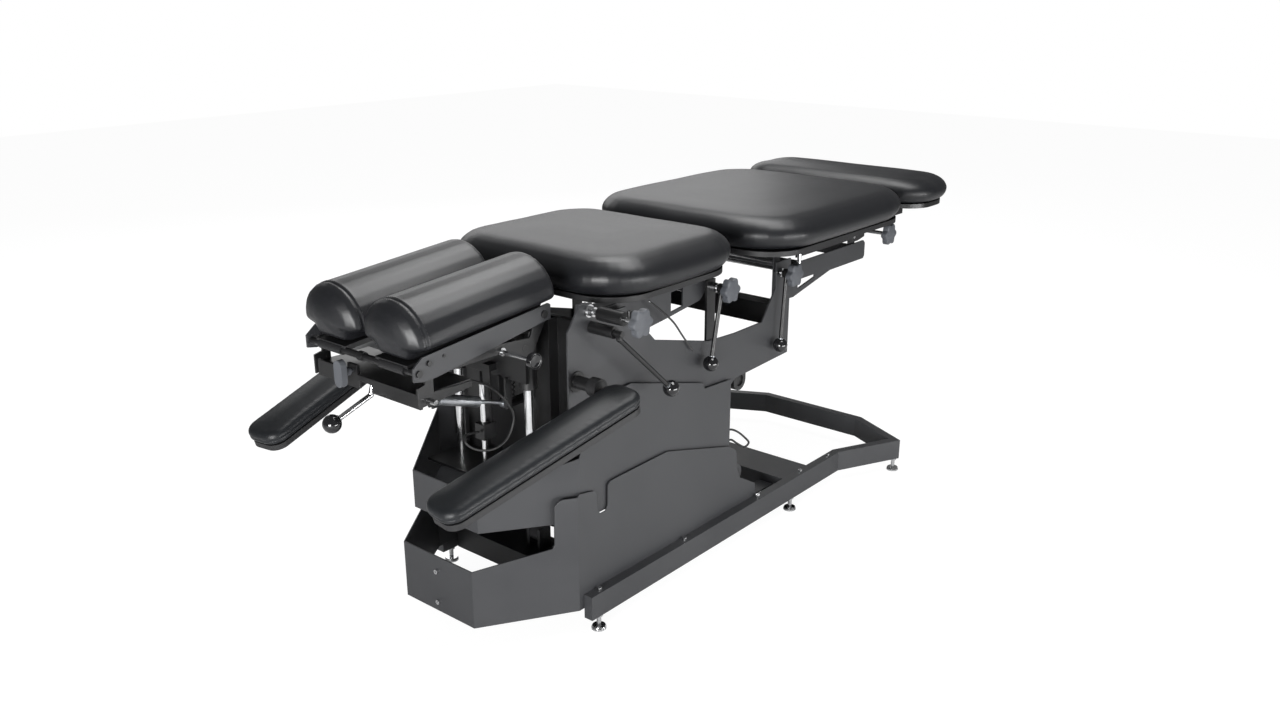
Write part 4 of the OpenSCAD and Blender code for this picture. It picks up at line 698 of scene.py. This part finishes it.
def star_pattern():
    select_only()
    bpy.ops.mesh.primitive_circle_add(vertices=144, radius=KNOB_TIP, fill_type="NGON", location=(0, 0, 0))
    body = bpy.context.object
    for v in body.data.vertices:
        swell = 0.5 + 0.5 * math.cos(KNOB_LOBES * math.atan2(v.co.y, v.co.x))
        v.co *= (KNOB_VALLEY + (KNOB_TIP - KNOB_VALLEY) * swell ** LOBE_POWER) / KNOB_TIP
    bpy.ops.object.mode_set(mode="EDIT")
    bpy.ops.mesh.select_all(action="SELECT")
    bpy.ops.mesh.extrude_region_move(TRANSFORM_OT_translate={"value": (0, 0, KNOB_BODY - CROWN_RISE)})
    bpy.ops.mesh.inset(thickness=CROWN_INSET)
    bpy.ops.transform.translate(value=(0, 0, CROWN_RISE))
    bpy.ops.mesh.select_all(action="SELECT")
    bpy.ops.mesh.normals_make_consistent(inside=False)
    bpy.ops.object.mode_set(mode="OBJECT")
    bevelled(body, KNOB_EDGE, 4, 50)
    collar = bevelled(cylinder("collar", COLLAR_R, KNOB_COLLAR, (0, 0, -KNOB_COLLAR / 2)), 0.8 * MM)
    cap = bevelled(cylinder("cap", CAP_R, CAP_THICK, (0, 0, KNOB_BODY - CAP_SINK)), 0.4 * MM)
    return joined("star_pattern", body, collar, cap)


def copy_of(pattern, name, matrix, body, material, replaced=None):
    mesh = pattern.data.copy()
    mesh.transform(matrix)
    mesh.materials.clear()
    mesh.materials.append(material)
    piece = bpy.data.objects.new(name, mesh)
    bpy.context.scene.collection.objects.link(piece)
    if replaced:
        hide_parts(replaced)
    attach(piece, body)
    return piece


def middle_of(node_name):
    low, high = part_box(node_name)
    return (low + high) / 2, high - low


star = star_pattern()
TOWARDS_NEAR = Matrix.Rotation(math.radians(90), 4, "X")
for label in ("chest", "lumbar", "pelvic", "leg"):
    low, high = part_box(f"{label}_knob")
    back_face = Vector(((low.x + high.x) / 2, low.y + KNOB_BODY + BACK_GAP, (low.z + high.z) / 2))
    copy_of(star, f"{label}_star_knob", Matrix.Translation(back_face) @ TOWARDS_NEAR, f"{label}_star",
        grip_plastic, f"{label}_knob")
    if high.y - back_face.y > 2 * KNOB_COLLAR:
        reach = high.y - back_face.y
        shaft = cylinder("shaft", SHAFT_R, reach, (0, 0, -reach / 2), 40)
        copy_of(shaft, f"{label}_knob_shaft", Matrix.Translation(back_face) @ TOWARDS_NEAR, f"{label}_star",
            plated)
        bpy.data.objects.remove(shaft)
bpy.data.objects.remove(star)
print("star knobs: 4")

# %% [markdown]
# ## Lever balls and the side knob
# The levers end in black moulded balls, cut flat where a steel insert takes the rod. The side knob is a
# small turned disc with a dished face.

# %% Lever balls
FLAT_AT, PAST_BALL, ROD_POINTS = 0.93, 1.3, 24
INSERT_R, INSERT_THICK = 7 * MM, 1.6 * MM


def ball_pattern(radius):
    select_only()
    bpy.ops.mesh.primitive_uv_sphere_add(segments=64, ring_count=40, radius=radius, location=(0, 0, 0))
    ball = bpy.context.object
    bpy.ops.object.mode_set(mode="EDIT")
    bpy.ops.mesh.select_all(action="SELECT")
    bpy.ops.mesh.bisect(plane_co=(0, 0, FLAT_AT * radius), plane_no=(0, 0, 1), use_fill=True,
        clear_outer=True)
    bpy.ops.object.mode_set(mode="OBJECT")
    return bevelled(ball, 0.5 * MM, 3, 30)


LEVERS = ("head_lever", "chest_lever", "lumbar_lever", "pelvic_lever")
for label in LEVERS:
    centre, size = middle_of(f"{label}_ball")
    radius = max(size) / 2
    rod = sorted((v.co for v in nodes[f"{label}_rod"].data.vertices), key=lambda c: (c - centre).length)
    beyond = [c for c in rod if (c - centre).length > PAST_BALL * radius][:ROD_POINTS]
    towards = (sum(beyond, Vector()) / len(beyond) - centre).normalized()
    place = Matrix.Translation(centre) @ towards.to_track_quat("Z", "Y").to_matrix().to_4x4()
    pattern = ball_pattern(radius)
    copy_of(pattern, f"{label}_ball_knob", place, label, ball_plastic, f"{label}_ball")
    insert = cylinder("insert", INSERT_R, INSERT_THICK, (0, 0, FLAT_AT * radius))
    copy_of(bevelled(insert, 0.3 * MM), f"{label}_insert", place, label, zinc)
    bpy.data.objects.remove(pattern)
    bpy.data.objects.remove(insert)
print("lever balls:", len(LEVERS))

# %% Side knob
RIM_WIDE, DISH_DEEP, CENTRE_INSET, CENTRE_RISE = 3 * MM, 2 * MM, 6 * MM, 0.8 * MM
centre, size = middle_of("side_knob")
dish = cylinder("dish", size.x / 2, size.y, sides=72)
bpy.ops.object.mode_set(mode="EDIT")
bpy.ops.mesh.select_all(action="DESELECT")
edit = bmesh.from_edit_mesh(dish.data)
for f in edit.faces:
    f.select = f.normal.z > 0.9
bmesh.update_edit_mesh(dish.data)
bpy.ops.mesh.inset(thickness=RIM_WIDE)
bpy.ops.transform.translate(value=(0, 0, -DISH_DEEP))
bpy.ops.mesh.inset(thickness=CENTRE_INSET)
bpy.ops.transform.translate(value=(0, 0, CENTRE_RISE))
bpy.ops.object.mode_set(mode="OBJECT")
copy_of(bevelled(dish, 0.9 * MM, 4), "side_dish_knob", Matrix.Translation(centre) @ TOWARDS_NEAR,
    "side_screw", ball_plastic, "side_knob")
bpy.data.objects.remove(dish)
print("side knob", [round(s / MM, 1) for s in size])

# %% [markdown]
# ## Small hardware
# A locking screw stands up on the chest knob's pin. It has a hexagonal socket sunk in a rounded head.

# %% Cap screw
EDGE_SHARE, SOCKET_SHARE, SOCKET_AT = 0.12, 0.27, 1.05


def cap_screw(name, place, diameter, height, body, material):
    head = cylinder("head", diameter / 2, height, (0, 0, height / 2), 48)
    bevelled(head, EDGE_SHARE * diameter, 3)
    socket = cylinder("socket", SOCKET_SHARE * diameter, height, (0, 0, SOCKET_AT * height), 6)
    cut = head.modifiers.new("socket", "BOOLEAN")
    cut.object, cut.solver = socket, "EXACT"
    select_only(head)
    bpy.ops.object.modifier_apply(modifier=cut.name)
    bpy.ops.object.shade_smooth_by_angle(angle=math.radians(30))
    piece = copy_of(head, name, Matrix.Translation(place), body, material)
    bpy.data.objects.remove(head)
    bpy.data.objects.remove(socket)
    return piece


cap_screw("chest_lock_screw", at(40, -312, 692), 9 * MM, 14 * MM, "lift", inner_paint)

# %% [markdown]
# A nylon tie hangs from under the chest board, and its pointed tail is free in front of the side plate. A
# narrow strip is laid along four points and given the tie's thickness.

# %% Cable tie
TIE_LINE = [(222, -209, 668), (292, -213, 612), (330, -214, 568), (368, -214, 524)]
TIE_WIDE, TIE_THICK, TAIL_SHARE = 4.4 * MM, 1.2 * MM, 0.35


def cable_tie():
    line = cable_line([at(*p) for p in TIE_LINE], 6)
    select_only()
    bpy.ops.mesh.primitive_grid_add(x_subdivisions=len(line) - 1, y_subdivisions=1, size=2,
        location=(0, 0, 0))
    tie = bpy.context.object
    tie.name = "cable_tie"
    columns = sorted({round(v.co.x, 4) for v in tie.data.vertices})
    for v in tie.data.vertices:
        k = columns.index(round(v.co.x, 4))
        ahead = (line[min(k + 1, len(line) - 1)] - line[max(k - 1, 0)]).normalized()
        across = Vector((0, 1, 0)).cross(ahead).normalized()
        taper = TAIL_SHARE if k == len(line) - 1 else 1.0
        v.co = line[k] + across * math.copysign(TIE_WIDE / 2 * taper, v.co.y)
    thick = tie.modifiers.new("thick", "SOLIDIFY")
    thick.thickness = TIE_THICK
    select_only(tie)
    bpy.ops.object.modifier_apply(modifier=thick.name)
    bevelled(tie, 0.3 * MM, 2)
    tie.data.materials.append(ball_plastic)
    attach(tie, "lift")
    return tie


cable_tie()
select_only()
